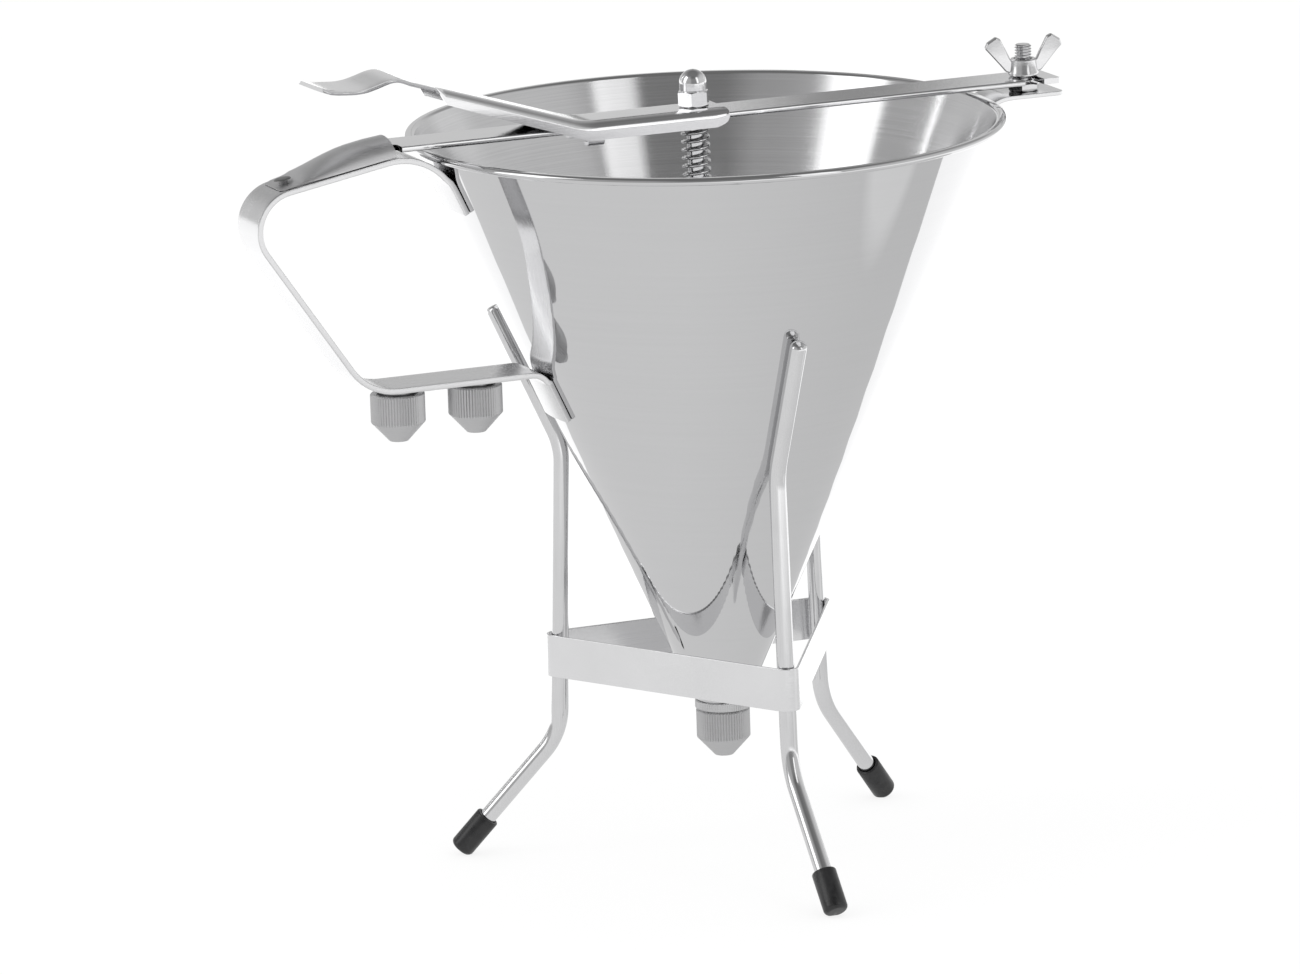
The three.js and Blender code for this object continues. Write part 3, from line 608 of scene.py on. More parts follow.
mode("EDIT")
choose(lug, at_corner, "edges")
bpy.ops.mesh.bevel(offset=lug_corner * mm, segments=6, affect="EDGES")
mode("OBJECT")
edged(lug, 0.25)
placed(lug, 0, 0)
bar_polish = dict(patch=0.02, bump=0.02, Length=0.04, Spacing=0.00035)
clad(lug, "lug_polish", (0.62, 0.70), (0.12, 0.2), strokes, **bar_polish)
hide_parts("stud_lug")
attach(lug, "funnel")

# Clamp stud. A length of 6 mm screwed rod, pitch 1 mm, with a chamfered end, fixed in the lug.
stud_foot = 258.65
stud_top = 276.8
stud_radius = 3
stud_root = stud_radius - 0.61
pitch = 1


def carved(piece, tool, operation):
    """Joins, cuts or keeps what both share, with a second shape, which is then taken away."""
    applied(piece, "BOOLEAN", operation=operation, object=tool, solver="EXACT")
    bpy.data.objects.remove(tool)
    return piece


def screwed(piece, pitch, turns, steps, low, crease):
    """Winds an outline up a screw line and closes both ends, of which one lies below low."""
    applied(piece, "SCREW", angle=2 * math.pi, screw_offset=pitch * mm, iterations=turns, steps=steps,
            render_steps=steps, use_merge_vertices=True, merge_threshold=2e-6)
    mode("EDIT")
    choose(piece, lambda edge: edge.is_boundary and edge.verts[0].co.z < low * mm, "edges")
    bpy.ops.mesh.edge_face_add()
    choose(piece, lambda edge: edge.is_boundary, "edges")
    bpy.ops.mesh.edge_face_add()
    return sewn(piece, crease)


stud_length = stud_top - stud_foot
turns = math.ceil(stud_length / pitch) + 2
stud = drawn("threaded_stud", [
    (stud_root, 0, 0), (stud_root, 0, 0.12), (stud_radius, 0, 0.46),
    (stud_radius, 0, 0.6), (stud_root, 0, 0.94), (stud_root, 0, pitch),
])
mode("OBJECT")
screwed(stud, pitch, turns, 32, 1.1, 20)
blank = turned("stud_blank", [
    (0, pitch), (2.4, pitch), (3.2, pitch + 0.6), (3.2, pitch + 17.5), (2.35, pitch + stud_length),
    (0, pitch + stud_length),
], 48)
carved(stud, blank, "INTERSECT")
smoothed(24)
placed(stud, stud_x, stud_foot - pitch)
stud_axis = (axis_x + stud_x * mm, 0, 0)
bright = steel(
    "fastener_bright", (0.50, 0.62), (0.07, 0.14), rings, stud_axis, patch=0.004, bump=0.01, Spacing=0.0002)
stud.data.materials.append(bright)
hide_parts("clamp_stud")
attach(stud, "funnel")

# Jam nut. A thin hexagon nut under the crossbar that locks the stud in the lug.
hex_radius = 5.77
jam_foot = 260.66
jam_height = 2.54


def hexagon(name, foot, top, chamfer_radius=4.9):
    """A hexagon nut's body: a six-sided bar, its corners turned off at both ends."""
    bpy.ops.mesh.primitive_cylinder_add(
        vertices=6, radius=hex_radius * mm, depth=(top - foot) * mm,
        location=(0, 0, (foot + top) / 2 * mm), rotation=(0, 0, math.radians(30)))
    piece = bpy.context.object
    piece.name = name
    bpy.ops.object.transform_apply()
    drop = (hex_radius - chamfer_radius) * math.tan(math.radians(30))
    corner = turned(name + "_corner", [
        (0, foot), (chamfer_radius, foot), (hex_radius + 0.1, foot + drop),
        (hex_radius + 0.1, top - drop), (chamfer_radius, top), (0, top),
    ], 96)
    return carved(piece, corner, "INTERSECT")


jam = hexagon("hex_jam_nut", 0, jam_height)
hole = turned("jam_hole", [(0, -1), (3.1, -1), (3.1, 4), (0, 4)], 48)
carved(jam, hole, "DIFFERENCE")
smoothed(20)
placed(jam, stud_x, jam_foot)
jam.data.materials.append(bright)
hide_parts("jam_nut")
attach(jam, "funnel")

# Crossbar. A flat polished bar over the funnel: a tongue at one end slides under the hood, and a
# slot open to one side at the other lets it swing clear of the stud when the wing nut is loose.
bar_top = 265.5
bar_sheet = 2
bar_half = 9.4
bar_left = -115.59
bar_right = 130.99
slot_half = 3.6
tongue_half = 3.3
tongue_end = -124.59
rod_offset = 4
bar_hole = 3.6


def plate(name, outline, bottom, thickness):
    """A flat plate: its outline in X and Y, filled and extruded upwards."""
    piece = drawn(name, [(x, y, bottom) for x, y in outline + outline[:1]])
    bpy.ops.mesh.remove_doubles(threshold=2e-6)
    bpy.ops.mesh.select_all(action="SELECT")
    bpy.ops.mesh.edge_face_add()
    pulled(0, 0, thickness)
    return sewn(piece)


def ring_of(x, y, radius, start, end, steps):
    """Points on an arc round (x, y), from start to end in degrees."""
    angles = [math.radians(start + (end - start) * i / steps) for i in range(steps + 1)]
    return [(x + radius * math.cos(a), y + radius * math.sin(a)) for a in angles]


bar = plate("slotted_bar", [
    (bar_left, -bar_half),
    (stud_x - slot_half, -bar_half),
    *ring_of(stud_x, 0, slot_half, 180, 0, 16),
    (stud_x + slot_half, -bar_half),
    *ring_of(bar_right - 1, -bar_half + 1, 1, -90, 0, 4),
    *ring_of(bar_right - 1, bar_half - 1, 1, 0, 90, 4),
    (bar_left, bar_half),
    (bar_left, tongue_half + 1),
    (bar_left - 1, tongue_half),
    (tongue_end + 1, tongue_half),
    (tongue_end, tongue_half - 1),
    (tongue_end, 1 - tongue_half),
    (tongue_end + 1, -tongue_half),
    (bar_left - 1, -tongue_half),
    (bar_left, -tongue_half - 1),
], bar_top - bar_sheet, bar_sheet)
hole_ring = ring_of(-rod_offset, 0, bar_hole, 0, 352.5, 47)
carved(bar, plate("rod_hole", hole_ring, bar_top - 2 * bar_sheet, 3 * bar_sheet), "DIFFERENCE")
mode("EDIT")
choose(bar, lambda edge: all(abs(abs(v.co.y / mm) - bar_half) < 0.01 for v in edge.verts)
       and edge.calc_length() > 8 * mm, "edges")
bpy.ops.mesh.bevel(offset=0.75 * mm, segments=5, affect="EDGES")
mode("OBJECT")
edged(bar, 0.3)
placed(bar, 0, 0)
clad(bar, "bar_polish", (0.62, 0.70), (0.06, 0.1), strokes, **bar_polish)
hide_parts("crossbar")
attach(bar, "funnel")

# Wing nut. A pressed and tapped hub with two sheet wings, screwed down on the crossbar by hand.
nut_foot = 265.8
nut_turn = math.radians(-9)
wing_span = 14
wing_top = 14.3
wing_sheet = 1.9
wing_root = 3.7
wing_bend = 8.2
wing_lean = math.radians(-9)
wing_shares = [(0.46, 0.105), (1, 0.72), (0.94, 0.86), (0.72, 1), (0.6, 0.94), (0.33, 0.4)]
wing_bends = [1.6, 0.8, 0.7, 1, 1, 3]
hub = turned("winged_nut", [
    (3.3, 0), (4.9, 0), (5.3, 0.35), (5.3, 1.2), (4.95, 2.2), (4.7, 4.2), (4.6, 5.6), (4.25, 6),
    (3.3, 6), (3.3, 0),
], 64, 30)
wings = []
for side in (1, -1):
    corners = [(wing_root, wing_top * 0.05)]
    corners += [(wing_span * out, wing_top * up, bend) for (out, up), bend in zip(wing_shares, wing_bends)]
    corners += [(wing_root, wing_top * 0.34)]
    outline = [(side * x, z) for x, z in eased(corners, 15)]
    wing = plate("wing", outline, -wing_sheet / 2, wing_sheet)
    edged(wing, 0.45, 3)
    wing.rotation_euler = (math.radians(90), 0, 0)
    bpy.ops.object.transform_apply()
    mode("EDIT")
    bpy.ops.mesh.select_all(action="SELECT")
    bpy.ops.mesh.bisect(plane_co=(0, 0, wing_bend * mm), plane_no=(0, 0, 1))
    choose(wing, lambda v: v.co.z > (wing_bend + 0.01) * mm)
    bpy.ops.transform.rotate(value=wing_lean, orient_axis="X", center_override=(0, 0, wing_bend * mm))
    mode("OBJECT")
    wings.append(wing)
for wing in wings:
    carved(hub, wing, "UNION")
smoothed(32)
applied(hub, "WEIGHTED_NORMAL", keep_sharp=True)
placed(hub, stud_x, nut_foot, turn=nut_turn)
clad(hub, "wing_nut_bright", (0.60, 0.72), (0.1, 0.2), strokes, stud_axis, patch=0.005, bump=0.03,
     Length=0.006, Spacing=0.0003)
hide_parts("wing_nut")
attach(hub, "wing_nut")

# Lever. One piece of polished sheet folded to a channel over the crossbar. It bends up at the
# fulcrum, its sides fade out, and it ends in a waved thumb paddle. Two tabs fold in under the bar.
lever_sheet = 1.4
lever_top = 267.2
lever_half = 11.1
lever_depth = 6.2
lever_pivot = 48
lever_toe = -4.6
lever_rake = math.tan(math.radians(17.8))
lever_crown = 5.2
lever_corner = 3.2
fulcrum_bend = 4.5
faded = 0.03
slot_radius = 3.45
slot_slack = 1.85
tab_side = 10.4
tab_reach = 6.9
tab_top, tab_foot = 262, 259.7
tab_length = 6
paddle_start = 112
paddle_length = 37.4
paddle_wave = 3.4
paddle_tip = 11
paddle_shares = [
    (0, 0), (0.08, 0.37), (0.145, 0.51), (0.227, 0.4), (0.33, 0.07), (0.433, -0.22), (0.527, -0.31),
    (0.615, -0.26), (0.765, -0.09), (0.88, 0.36), (0.95, 0.7), (1, 0.94),
]


def smooth_through(points, x):
    """The height at x of a soft curve through the points, as a flexible ruler would give it."""
    last = len(points) - 1
    i = next((k for k, point in enumerate(points) if point[0] > x), last)
    (x0, y0), (x1, y1) = points[i - 1], points[i]
    before = points[max(i - 2, 0)]
    after = points[min(i + 1, last)]
    slope0 = (y1 - before[1]) / (x1 - before[0])
    slope1 = (after[1] - y0) / (after[0] - x0)
    t = (x - x0) / (x1 - x0)
    run = x1 - x0
    return (y0 * (1 + 2 * t) * (1 - t) ** 2 + slope0 * run * t * (1 - t) ** 2
            + y1 * t * t * (3 - 2 * t) - slope1 * run * t * t * (1 - t))


def lever_rise(out):
    """The top line: level to the fulcrum, a small bend, then straight up the incline."""
    past = out - lever_pivot
    if past <= -fulcrum_bend:
        return lever_top
    if past >= fulcrum_bend:
        return lever_top + past * lever_rake
    return lever_top + lever_rake * (past + fulcrum_bend) ** 2 / (4 * fulcrum_bend)


depth_marks = [
    (lever_toe, 0.5), (-3.9, 0.72), (-3, 0.82), (-1.5, 0.92), (0, 1), (50, 1), (77, 0.92), (99.4, 0.82),
    (100.2, 0.62), (101.3, 0.36), (102.4, 0.14), (103.2, faded), (160, faded),
]


def depth_at(out):
    """The share of its full depth that the lever's flange has at this distance from the axis."""
    i = next(k for k, mark in enumerate(depth_marks) if mark[0] >= out)
    (x0, d0), (x1, d1) = depth_marks[max(i - 1, 0)], depth_marks[i]
    return d1 if x1 == x0 else d0 + (d1 - d0) * (out - x0) / (x1 - x0)


marks = [
    lever_toe, -3.9, -3, -1.5, 0, 12, 24, 36, 43.5, 45, 46.5, lever_pivot, 49.5, 51, 52.5, 60, 68, 77, 86,
    93, 99.4, 100.2, 101.3, 102.4, 103.2, 106, 109,
]
stations = [(out, lever_rise(out), depth_at(out)) for out in marks]
paddle_end = paddle_start + paddle_length
rounding = [14, 28, 40, 51, 61, 70, 90]
tip_start = paddle_end - paddle_tip
tip_marks = [paddle_end - paddle_tip * (1 - math.sin(math.radians(a))) for a in rounding]
for out in [paddle_start + 1.2 * i for i in range(22)] + [tip_start] + tip_marks:
    share = (out - paddle_start) / paddle_length
    height = lever_rise(paddle_start) + smooth_through(paddle_shares, share) * paddle_wave
    stations.append((out, height, faded))
half_section = [
    (lever_half - lever_crown * (1 - c), lever_corner * (s - 1)) for c, s in ring_of(0, 0, 1, 90, 0, 9)
] + [(lever_half, -lever_depth)]
section = [(-y, z) for y, z in reversed(half_section)] + half_section
out, height, depth = stations[0]
lever = drawn("folded_lever", [(-out, y, height + z * depth) for y, z in section])
for (out, height, depth), (out1, height1, depth1) in zip(stations, stations[1:]):
    pulled(out - out1, 0, height1 - height)
    if depth1 != depth:
        scaled(1, 1, depth1 / depth, (-out1 * mm, 0, height1 * mm))
sewn(lever)
inwards = -math.copysign(1, sum(face.normal.z * face.area for face in lever.data.polygons))
thickened(lever, lever_sheet, inwards, even=False)

# The paddle's end is rounded with an upright block, which clears the rest of the lever
beside, beyond = lever_half + 3.9, 20
below, tall = 240, 80
tip_half = lever_half + 0.33
end_half = 1.8
half_outline = [(beyond, beside), (-tip_start, beside), (-tip_start, tip_half)]
half_outline += [
    (-out, max(end_half, lever_half * math.cos(math.radians(a)))) for out, a in zip(tip_marks, rounding)
]
outline = half_outline + [(x, -y) for x, y in reversed(half_outline)]
carved(lever, plate("paddle_outline", outline, below, tall), "INTERSECT")
edged(lever, 0.3)
rod_slot = plate("rod_slot", [
    *ring_of(-rod_offset, 0, slot_radius, 90, 270, 16),
    *ring_of(slot_slack - rod_offset, 0, slot_radius, -90, 90, 16),
], lever_top - 3, 6)
carved(lever, rod_slot, "DIFFERENCE")
for side in (1, -1):
    tab_line = eased([(tab_side, tab_top), (tab_side, tab_foot, 1), (tab_reach, tab_foot)], 15)
    tab = drawn("tab", [(-lever_pivot, y * side, z) for y, z in tab_line])
    pulled(tab_length, 0, 0)
    sewn(tab)
    thickened(tab, lever_sheet)
    edged(tab, 0.2)
    carved(lever, tab, "UNION")
smoothed(36)
applied(lever, "WEIGHTED_NORMAL", keep_sharp=True, weight=80)
placed(lever, 0, 0)
clad(lever, "lever_polish", (0.68, 0.78), (0.08, 0.15), strokes, **bar_polish)
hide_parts("lever")
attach(lever, "lever")

# Valve plug. Turned steel on the rod's lower end: a cone that closes the seat in the outlet, a
# short guide above it and a taper up to the rod.
lean = math.atan2(rod_offset, bar_top - seat_height)
plug = turned("tapered_plug", [
    (0, -0.3), (3.2, -0.3), (3.4, -0.1), (6.3, 2.72), (6.5, 3.0), (6.5, 5.5), (6.3, 5.85), (4.5, 9.4),
    (4.3, 9.72), (3.3, 9.72), (3.3, 1.52), (0, 1.52),
], 96)
placed(plug, 0, seat_height, lean=-lean)
clad(plug, "plug_turned", (0.56, 0.66), (0.2, 0.3), rings, axis, bump=0.03, Spacing=0.0002)
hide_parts("valve_plug")
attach(plug, "rod")

# Rod. A polished 6 mm bar that runs from the plug up through the crossbar and the lever.
rod_radius = 3
rod_foot, rod_top = 1.82, 220.5
rod = turned("drawn_rod", [
    (0, rod_foot), (rod_radius - 0.4, rod_foot), (rod_radius, rod_foot + 0.38), (rod_radius, 100),
    (rod_radius, rod_top - 0.6), (rod_radius - 0.6, rod_top), (0, rod_top),
], 64)
placed(rod, 0, seat_height, lean=-lean)
upright = (0, math.radians(90), 0)
clad(rod, "rod_polish", (0.64, 0.72), (0.08, 0.15), strokes, axis, upright, patch=0.02, bump=0.01,
     Length=0.05, Spacing=0.0003)
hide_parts("piston_rod")
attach(rod, "rod")

# Spring collar. A turned ring pinned to the rod, on which the spring stands.
stop_hole = 3.3
stop_radius = 6
stop_foot, stop_top = 149.5, 154.5
collar = turned("rod_collar", [
    (stop_hole, stop_foot), (stop_radius - 0.3, stop_foot), (stop_radius, stop_foot + 0.3),
    (stop_radius, stop_top - 0.3), (stop_radius - 0.3, stop_top), (stop_hole, stop_top),
    (stop_hole, stop_foot),
], 64)
placed(collar, 0, seat_height, lean=-lean)
clad(collar, "collar_bright", (0.62, 0.72), (0.14, 0.22), rings, axis, Spacing=0.0002)
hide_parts("spring_collar")
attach(collar, "rod")

# Return spring. Bright wire wound in 19 open curls with a closed curl at each end. It pushes the
# rod down from the crossbar's underside.
wire_radius = 0.55
coil_radius = 4.6
spring_foot = 154.81
spring_top = 210.81
curls = 19
coil_pitch = (spring_top - spring_foot - 4 * wire_radius) / curls


def wire_section(height):
    """The wire's round section, upright beside the axis."""
    bpy.ops.mesh.primitive_circle_add(
        vertices=12, radius=wire_radius * mm, rotation=(math.radians(90), 0, 0),
        location=(coil_radius * mm, 0, height * mm))
    bpy.ops.object.transform_apply()
    return bpy.context.object


spring = wire_section(spring_foot + 2 * wire_radius)
spring.name = "wound_spring"
screwed(spring, coil_pitch, curls, 24, spring_foot + 3, 60)
for height in (spring_foot + wire_radius, spring_top - wire_radius):
    closed = wire_section(height)
    mode("EDIT")
    bpy.ops.mesh.select_all(action="SELECT")
    bpy.ops.mesh.spin(steps=48, angle=2 * math.pi, center=(0, 0, 0), axis=(0, 0, 1))
    sewn(closed, 60)
    spring.select_set(True)
    bpy.context.view_layer.objects.active = spring
    bpy.ops.object.join()
placed(spring, 0, seat_height, lean=-lean)
clad(spring, "spring_wire", (0.60, 0.72), (0.1, 0.18), rings, axis, patch=0.003, bump=0.01, Spacing=0.0003)
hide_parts("return_spring")
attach(spring, "funnel")
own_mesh(spring)

# Dome nut. A hexagon nut with a closed domed cap, screwed on the rod's end over the lever.
nut_seat = 215.22
hex_top = nut_seat + 5
dome_radius = 4.75
dome_neck = dome_radius - 0.35
dome_top = hex_top + 7.5
nut_hole = 3.3
hole_top = rod_top + 0.3
acorn = hexagon("domed_nut", nut_seat, hex_top, chamfer_radius=5.05)
dome_profile = [
    (0, hex_top - 1), (dome_neck, hex_top - 1), (dome_neck, hex_top + 0.25), (dome_radius, hex_top + 0.5),
    *ring_of(0, dome_top - dome_radius, dome_radius, 0, 90, 14)[:-1], (0, dome_top),
]
carved(acorn, turned("dome", dome_profile, 96, 30), "UNION")
hole_profile = [(0, nut_seat - 5), (nut_hole, nut_seat - 5), (nut_hole, hole_top), (0, hole_top)]
carved(acorn, turned("thread_hole", hole_profile, 48), "DIFFERENCE")
smoothed(20)
placed(acorn, 0, seat_height, lean=-lean)
clad(acorn, "dome_nut_bright", (0.66, 0.76), (0.06, 0.12), rings, axis, patch=0.004, bump=0.008,
     Spacing=0.0002)
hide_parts("dome_nut")
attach(acorn, "rod")

# Legs of the stand. Three polished 6 mm rods, each with a rounded upper end that leans along the
# cone, a bend at the band and another above the foot.
leg_radius = 3
leg_bend = 25
leg_corners = [(93.43, 3.17), (57.85, 44.1, leg_bend), (54.02, 147.66, leg_bend), (76.35, 197)]
leg_turns = [math.radians(30), math.radians(150), math.radians(270)]
dome_shares = [(0.62, 1), (0.3, 0.92), (0.1, 0.72), (0.02, 0.42), (0, 0.16)]


def bent_rod(name, corners, radius, sides):
    """A round rod: a disc extruded along the straights and spun round each bend, domed at its end."""
    here = Vector(corners[0])
    way = (Vector(corners[1][:2]) - here).normalized()
    bpy.ops.mesh.primitive_circle_add(
        vertices=sides, radius=radius * mm, fill_type="NGON", rotation=(0, math.atan2(way.x, way.y), 0),
        location=(here.x * mm, 0, here.y * mm))
    piece = bpy.context.object
    piece.name = name
    bpy.ops.object.transform_apply()
    mode("EDIT")
    bpy.ops.mesh.select_mode(type="FACE")
    bpy.ops.mesh.select_all(action="SELECT")
    for corner, after in zip(corners[1:], corners[2:]):
        bend = Vector(corner[:2])
        on = (Vector(after[:2]) - bend).normalized()
        turn = math.atan2(on.x, on.y) - math.atan2(way.x, way.y)
        start = bend - way * corner[2] * math.tan(abs(turn) / 2)
        pulled(start.x - here.x, 0, start.y - here.y)
        across = Vector((way.y, -way.x)) * math.copysign(corner[2], turn)
        centre = start + across
        bpy.ops.mesh.spin(steps=12, angle=-turn, center=(centre.x * mm, 0, centre.y * mm), axis=(0, 1, 0))
        here = bend + on * corner[2] * math.tan(abs(turn) / 2)
        way = on
    width = 1
    for drop, share in dome_shares:
        tip = Vector(corners[-1]) - way * radius * drop
        pulled(tip.x - here.x, 0, tip.y - here.y)
        shrink = share / width
        scaled(shrink, shrink, shrink, (tip.x * mm, 0, tip.y * mm))
        here, width = tip, share
    return sewn(piece, 50)


def copied(piece, name):
    """A copy with its own mesh."""
    copy = piece.copy()
    copy.data = piece.data.copy()
    copy.name = name
    bpy.context.collection.objects.link(copy)
    return copy


rod_leg = bent_rod("bent_leg", leg_corners, leg_radius, 32)
leg_polish = steel(
    "leg_polish", (0.64, 0.74), (0.07, 0.14), strokes, axis, upright, patch=0.02, bump=0.01,
    Length=0.05, Spacing=0.0003)
for name, turn in zip(("leg_back_right", "leg_back_left", "leg_front"), leg_turns):
    leg = copied(rod_leg, "bent_" + name)
    placed(leg, 0, 0, turn=turn)
    leg.data.materials.append(leg_polish)
    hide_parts(name)
    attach(leg, "stand")
bpy.data.objects.remove(rod_leg)

# Foot caps. Three push-on caps of black rubber, closed and rounded at the floor.
cap_radius = 4.3
cap_length = 15.5
cap_bend = 1.6
cap_bore = 3.3
cap_wall = 1.5
cap_lean = math.radians(139)
cap_end = (94.613, 1.81)
cap_shape = turned("rubber_cap", [
    (0, 0), *ring_of(cap_radius - cap_bend, -cap_bend, cap_bend, 90, 0, 8), (cap_radius, -4),
    (cap_radius, -cap_length + 0.4), (cap_radius - 0.15, -cap_length + 0.1),
    (cap_radius - 0.4, -cap_length), (cap_bore, -cap_length), (cap_bore, -cap_wall), (0, -cap_wall),
], 64, 50)
placed(cap_shape, *cap_end, lean=cap_lean)
mode("EDIT")
choose(cap_shape, lambda v: v.co.z < 0)
scaled(1, 1, 0)
sewn(cap_shape, 50)
rubber = bpy.data.materials.new("black_rubber")
tree = bare(rubber)
place = node(tree, "ShaderNodeTexCoord").outputs["Object"]
dust = node(tree, "ShaderNodeGroup", {"node_tree": patches}, Vector=place, Size=0.004).outputs[0]
pores = node(tree, "ShaderNodeTexNoise", Vector=place, Scale=2500.0, Detail=2.0).outputs["Fac"]
grain = node(tree, "ShaderNodeBump", Height=pores, Strength=0.05, Distance=0.0005)
skin = node(
    tree, "ShaderNodeBsdfPrincipled",
    Base_Color=tinted(tree, dust, (0.010, 0.010, 0.011), (0.024, 0.024, 0.025)),
    Roughness=between(tree, dust, 0.26, 0.4),
    Normal=grain.outputs[0],
)
node(tree, "ShaderNodeOutputMaterial", Surface=skin.outputs[0])
to_axis = Matrix.Translation(axis)
for name, turn in zip(("foot_cap_back_right", "foot_cap_back_left", "foot_cap_front"), leg_turns):
    cap = copied(cap_shape, "rubber_" + name)
    alone(cap)
    cap.matrix_world = to_axis @ Matrix.Rotation(turn, 4, "Z") @ to_axis.inverted()
    bpy.ops.object.transform_apply(location=True, rotation=True, scale=False)
    cap.data.materials.append(rubber)
    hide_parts(name)
    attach(cap, "stand")
bpy.data.objects.remove(cap_shape)

# Band. A strip 15 mm deep bent to a triangle round the three legs and spot-welded to each.
band_foot = 65
band_depth = 15
band_sheet = 1
leg_reach = 56.8
band_corner = 3.578
inner_ring = []
for turn in leg_turns:
    facing = math.degrees(turn)
    x, y = leg_reach * math.cos(turn), leg_reach * math.sin(turn)
    inner_ring += ring_of(x, y, band_corner, facing - 60, facing + 60, 14)
band = drawn("folded_band", [(x, y, band_foot) for x, y in inner_ring + inner_ring[:1]])
bpy.ops.mesh.remove_doubles(threshold=2e-6)
pulled(0, 0, band_depth)
sewn(band)
outwards = math.copysign(1, sum(face.normal.xy.dot(face.center.xy) for face in band.data.polygons))
thickened(band, band_sheet, outwards)
edged(band, 0.3)
placed(band, 0, 0)
clad(band, "band_brushed", (0.74, 0.84), (0.16, 0.26), strokes, axis, patch=0.02, bump=0.03, Length=0.05,
     Spacing=0.0004)
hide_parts("stand_band")
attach(band, "stand")

# Studio. A white table in a grey room, with two soft boxes and a strip light. The table gives its
# white to the camera and to the steel and keeps a faint shadow. What the polished steel shows of the
# room is set here by direction: its near side, its sides, its far side and its ceiling.
table_size = 24
view_heading = math.radians(-22.415)
look_x, look_y = 0.381, 0.9245
bpy.ops.mesh.primitive_plane_add(size=table_size, location=(0, 4, -0.0001))
table = bpy.context.object
table.name = "studio_table"
bpy.ops.object.transform_apply()
white = bpy.data.materials.new("studio_white")
tree = bare(white)
rays = node(tree, "ShaderNodeLightPath").outputs
place = node(tree, "ShaderNodeTexCoord").outputs["Object"]
spot = node(tree, "ShaderNodeSeparateXYZ", Vector=place).outputs

# What the steel mirrors of the table is painted light and shade, a glow that only reflections see: painted
# shade near the stand, paler further out, a painted pool of light on a patch to the right, and brightest on
# its far half
table_white, far_glow_painted, shadow_share = 1.03, 1.4, 0.8
# Painted light: in reflections the table's far half glows brightest
away = plus(tree, times(tree, spot["X"], 0.485), times(tree, spot["Y"], 0.875))
painted_far_light = times(tree, maths(tree, "GREATER_THAN", away, 0.223), far_glow_painted)
# Painted shade: in reflections the table is grey near the stand and darker towards the right
painted_floor_level = spread(tree, spot["X"], (-0.1, 0.4), (0.88, 0.74))
off_axis = vectors(tree, "LENGTH", v0=place)["Value"]
# Painted light: paler further from the stand, though not on its left
painted_open_light = spread(tree, off_axis, (0.45, 1), (0, 0.55))
painted_open_light = times(tree, painted_open_light, spread(tree, spot["X"], (-0.5, -0.2), (0, 1)))
# A painted pool of light on a patch to the right of the stand
light_patch_place = (0.3465, -0.2, 0)
to_patch = vectors(tree, "DISTANCE", v0=place, v1=light_patch_place)["Value"]
patch = spread(tree, to_patch, (0.085, 0.11), (0.16, 0))
painted_floor_level = plus(tree, painted_floor_level, plus(tree, painted_open_light, patch))
mirrored = times(tree, rays["Is Glossy Ray"], maths(tree, "MAXIMUM", painted_floor_level, painted_far_light))
seen = maths(tree, "MAXIMUM", rays["Is Camera Ray"], rays["Is Transmission Ray"])
level = plus(tree, times(tree, seen, table_white), mirrored)
glow = node(tree, "ShaderNodeEmission", Color=(1, 1, 1, 1), Strength=level)
paint = node(tree, "ShaderNodeBsdfDiffuse", Color=(0.9, 0.9, 0.9, 1))
amount = maths(tree, "MAXIMUM", times(tree, seen, shadow_share), rays["Is Glossy Ray"])
mix = node(tree, "ShaderNodeMixShader", v0=amount, v1=paint.outputs[0], v2=glow.outputs[0])
node(tree, "ShaderNodeOutputMaterial", Surface=mix.outputs[0])
table.data.materials.append(white)

room = bpy.data.worlds.new("studio_room")
bpy.context.scene.world = room
tree = bare(room)
rays = node(tree, "ShaderNodeLightPath").outputs
place = node(tree, "ShaderNodeTexCoord").outputs["Generated"]
facing = node(tree, "ShaderNodeSeparateXYZ", Vector=place).outputs
ahead = plus(tree, times(tree, facing["X"], look_x), times(tree, facing["Y"], look_y))
sideways = maths(tree, "SUBTRACT", times(tree, facing["X"], look_y), times(tree, facing["Y"], look_x))

# The sides, lighter at the near left and at the far right
sides = spread(tree, ahead, (-0.62, -0.42), (0.30, 0.54))
near_left = spread(tree, sideways, (-0.34, -0.14), (0.2, 0))
near_left = times(tree, near_left, maths(tree, "LESS_THAN", ahead, -0.42))
right_side = spread(tree, sideways, (0.55, 0.7), (0, 0.19))
sides = plus(tree, sides, plus(tree, near_left, right_side))

# The far side, light near the table and dark above it, under a darker ceiling
far = spread(tree, ahead, (0.3, 0.5), (0, 1))
low = spread(tree, facing["Z"], (0.28, 0.42), (0.16, -0.12))
ceiling = spread(tree, facing["Z"], (0.55, 0.88), (1, 0.4))
walls = times(tree, plus(tree, sides, times(tree, far, low)), ceiling)

# A dark gap straight ahead, and a bright upper far side that second reflections alone show. The
# depth counts one more than the reflections
gap_left, gap_right, gap_shade = 0.0149, 0.0344, -0.38
first_reflection, deep_white = 2.5, 1.7
gap = times(
    tree, maths(tree, "GREATER_THAN", sideways, gap_left), maths(tree, "LESS_THAN", sideways, gap_right),
    maths(tree, "GREATER_THAN", ahead, 0.8), gap_shade)
deep = times(
    tree, maths(tree, "GREATER_THAN", rays["Ray Depth"], first_reflection),
    maths(tree, "GREATER_THAN", ahead, 0.1), maths(tree, "GREATER_THAN", facing["Z"], 0.5), deep_white)
mirrored = maths(tree, "MAXIMUM", plus(tree, walls, gap), deep)
seen = maths(tree, "MAXIMUM", rays["Is Camera Ray"], rays["Is Transmission Ray"])
shown = maths(tree, "MAXIMUM", seen, times(tree, rays["Is Glossy Ray"], mirrored))
level = plus(tree, shown, rays["Is Diffuse Ray"])
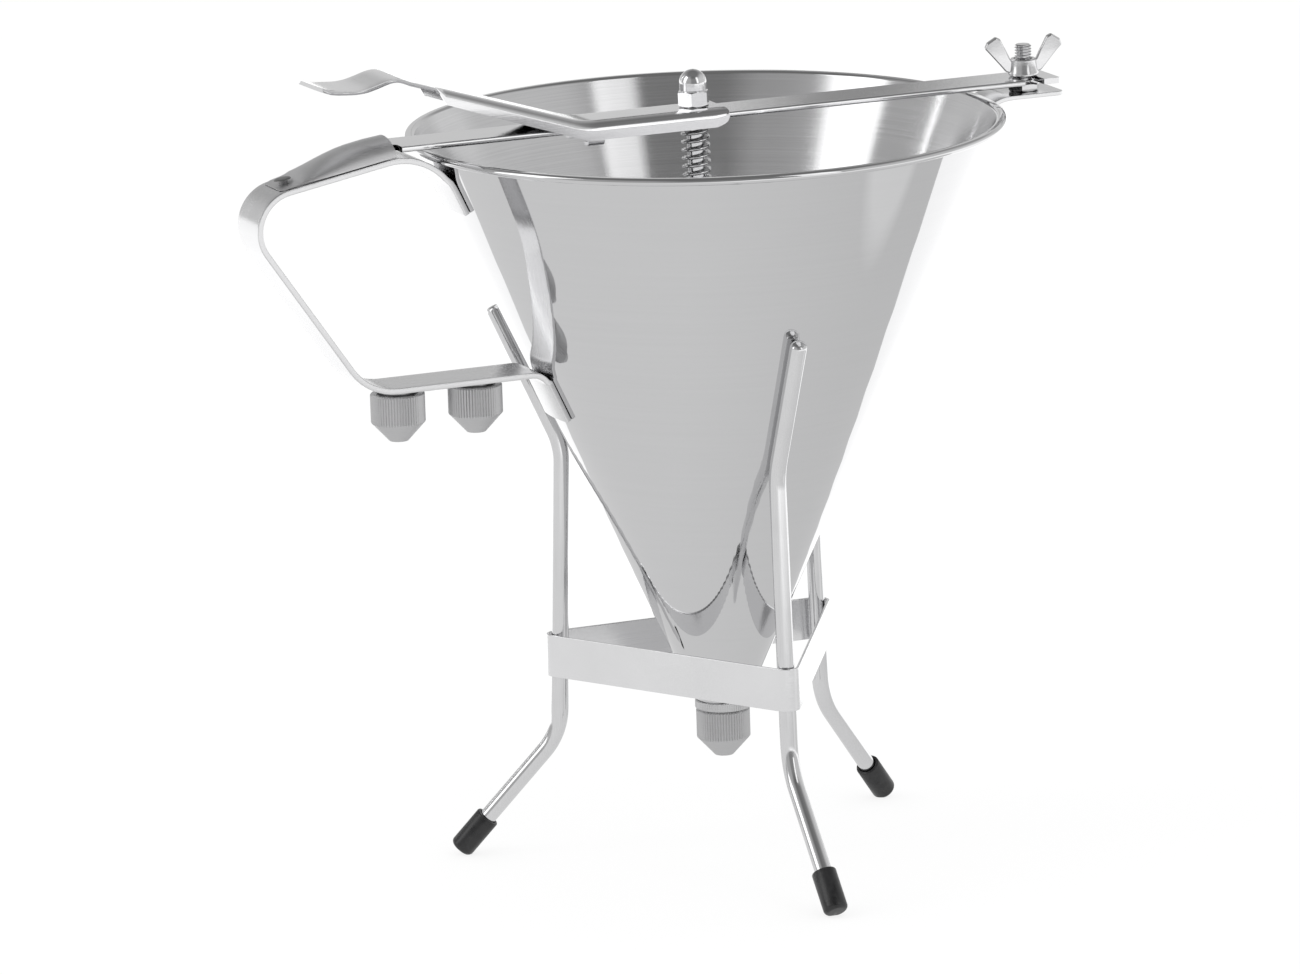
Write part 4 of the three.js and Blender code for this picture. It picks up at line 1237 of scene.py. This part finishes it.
sky = node(tree, "ShaderNodeBackground", Color=(1, 1, 1, 1), Strength=level)
node(tree, "ShaderNodeOutputWorld", Surface=sky.outputs[0])

middle = Vector((axis_x, 0, 0.18))
lamp_distance = 1.6


def soft_box(name, heading, height, wide, tall, level):
    """A lamp at a heading to the right of the camera's, aimed at the funnel. Level 1 looks white."""
    turn = view_heading + math.radians(heading)
    rise = math.radians(height)
    way = Vector((math.sin(turn) * math.cos(rise), -math.cos(turn) * math.cos(rise), math.sin(rise)))
    light = bpy.data.lights.new(name, "AREA")
    light.shape = "RECTANGLE"
    light.size = wide
    light.size_y = tall
    light.energy = level * math.pi * wide * tall
    box = bpy.data.objects.new(name, light)
    bpy.context.collection.objects.link(box)
    aim = way.to_track_quat("Z", "Y").to_matrix().to_4x4()
    box.matrix_world = Matrix.Translation(middle + way * lamp_distance) @ aim


soft_box("soft_box_right", 42.3, 28, 0.46, 1.3, 1.05)
soft_box("soft_box_left", -74.3, 28, 0.675, 1.3, 1.5)
soft_box("strip_light", -118, 20, 0.032, 1.2, 4.6)

# Camera. It stands a little to the handle's side and looks slightly down, through a long lens.
elevation = math.radians(12.677)
roll = math.radians(-1.83)
distance = 3
photo_width, focal_length = 1300, 9015
target = Vector((axis_x - 71.68 * mm, -113.40 * mm, 162.43 * mm))
out = Vector((
    math.sin(view_heading) * math.cos(elevation),
    -math.cos(view_heading) * math.cos(elevation),
    math.sin(elevation),
))
right = (-out).cross(Vector((0, 0, 1))).normalized()
up = right.cross(-out)
side = right * math.cos(roll) + up * math.sin(roll)
top = up * math.cos(roll) - right * math.sin(roll)
lens = bpy.data.cameras.new("long_lens")
lens.sensor_width = 36
lens.lens = focal_length / photo_width * lens.sensor_width
lens.clip_end = 60
camera = bpy.data.objects.new("camera", lens)
bpy.context.collection.objects.link(camera)
turned_axes = Matrix((side, top, out)).transposed().to_4x4()
camera.matrix_world = Matrix.Translation(target + out * distance) @ turned_axes
bpy.context.scene.camera = camera
bpy.context.scene.view_settings.view_transform = "Standard"
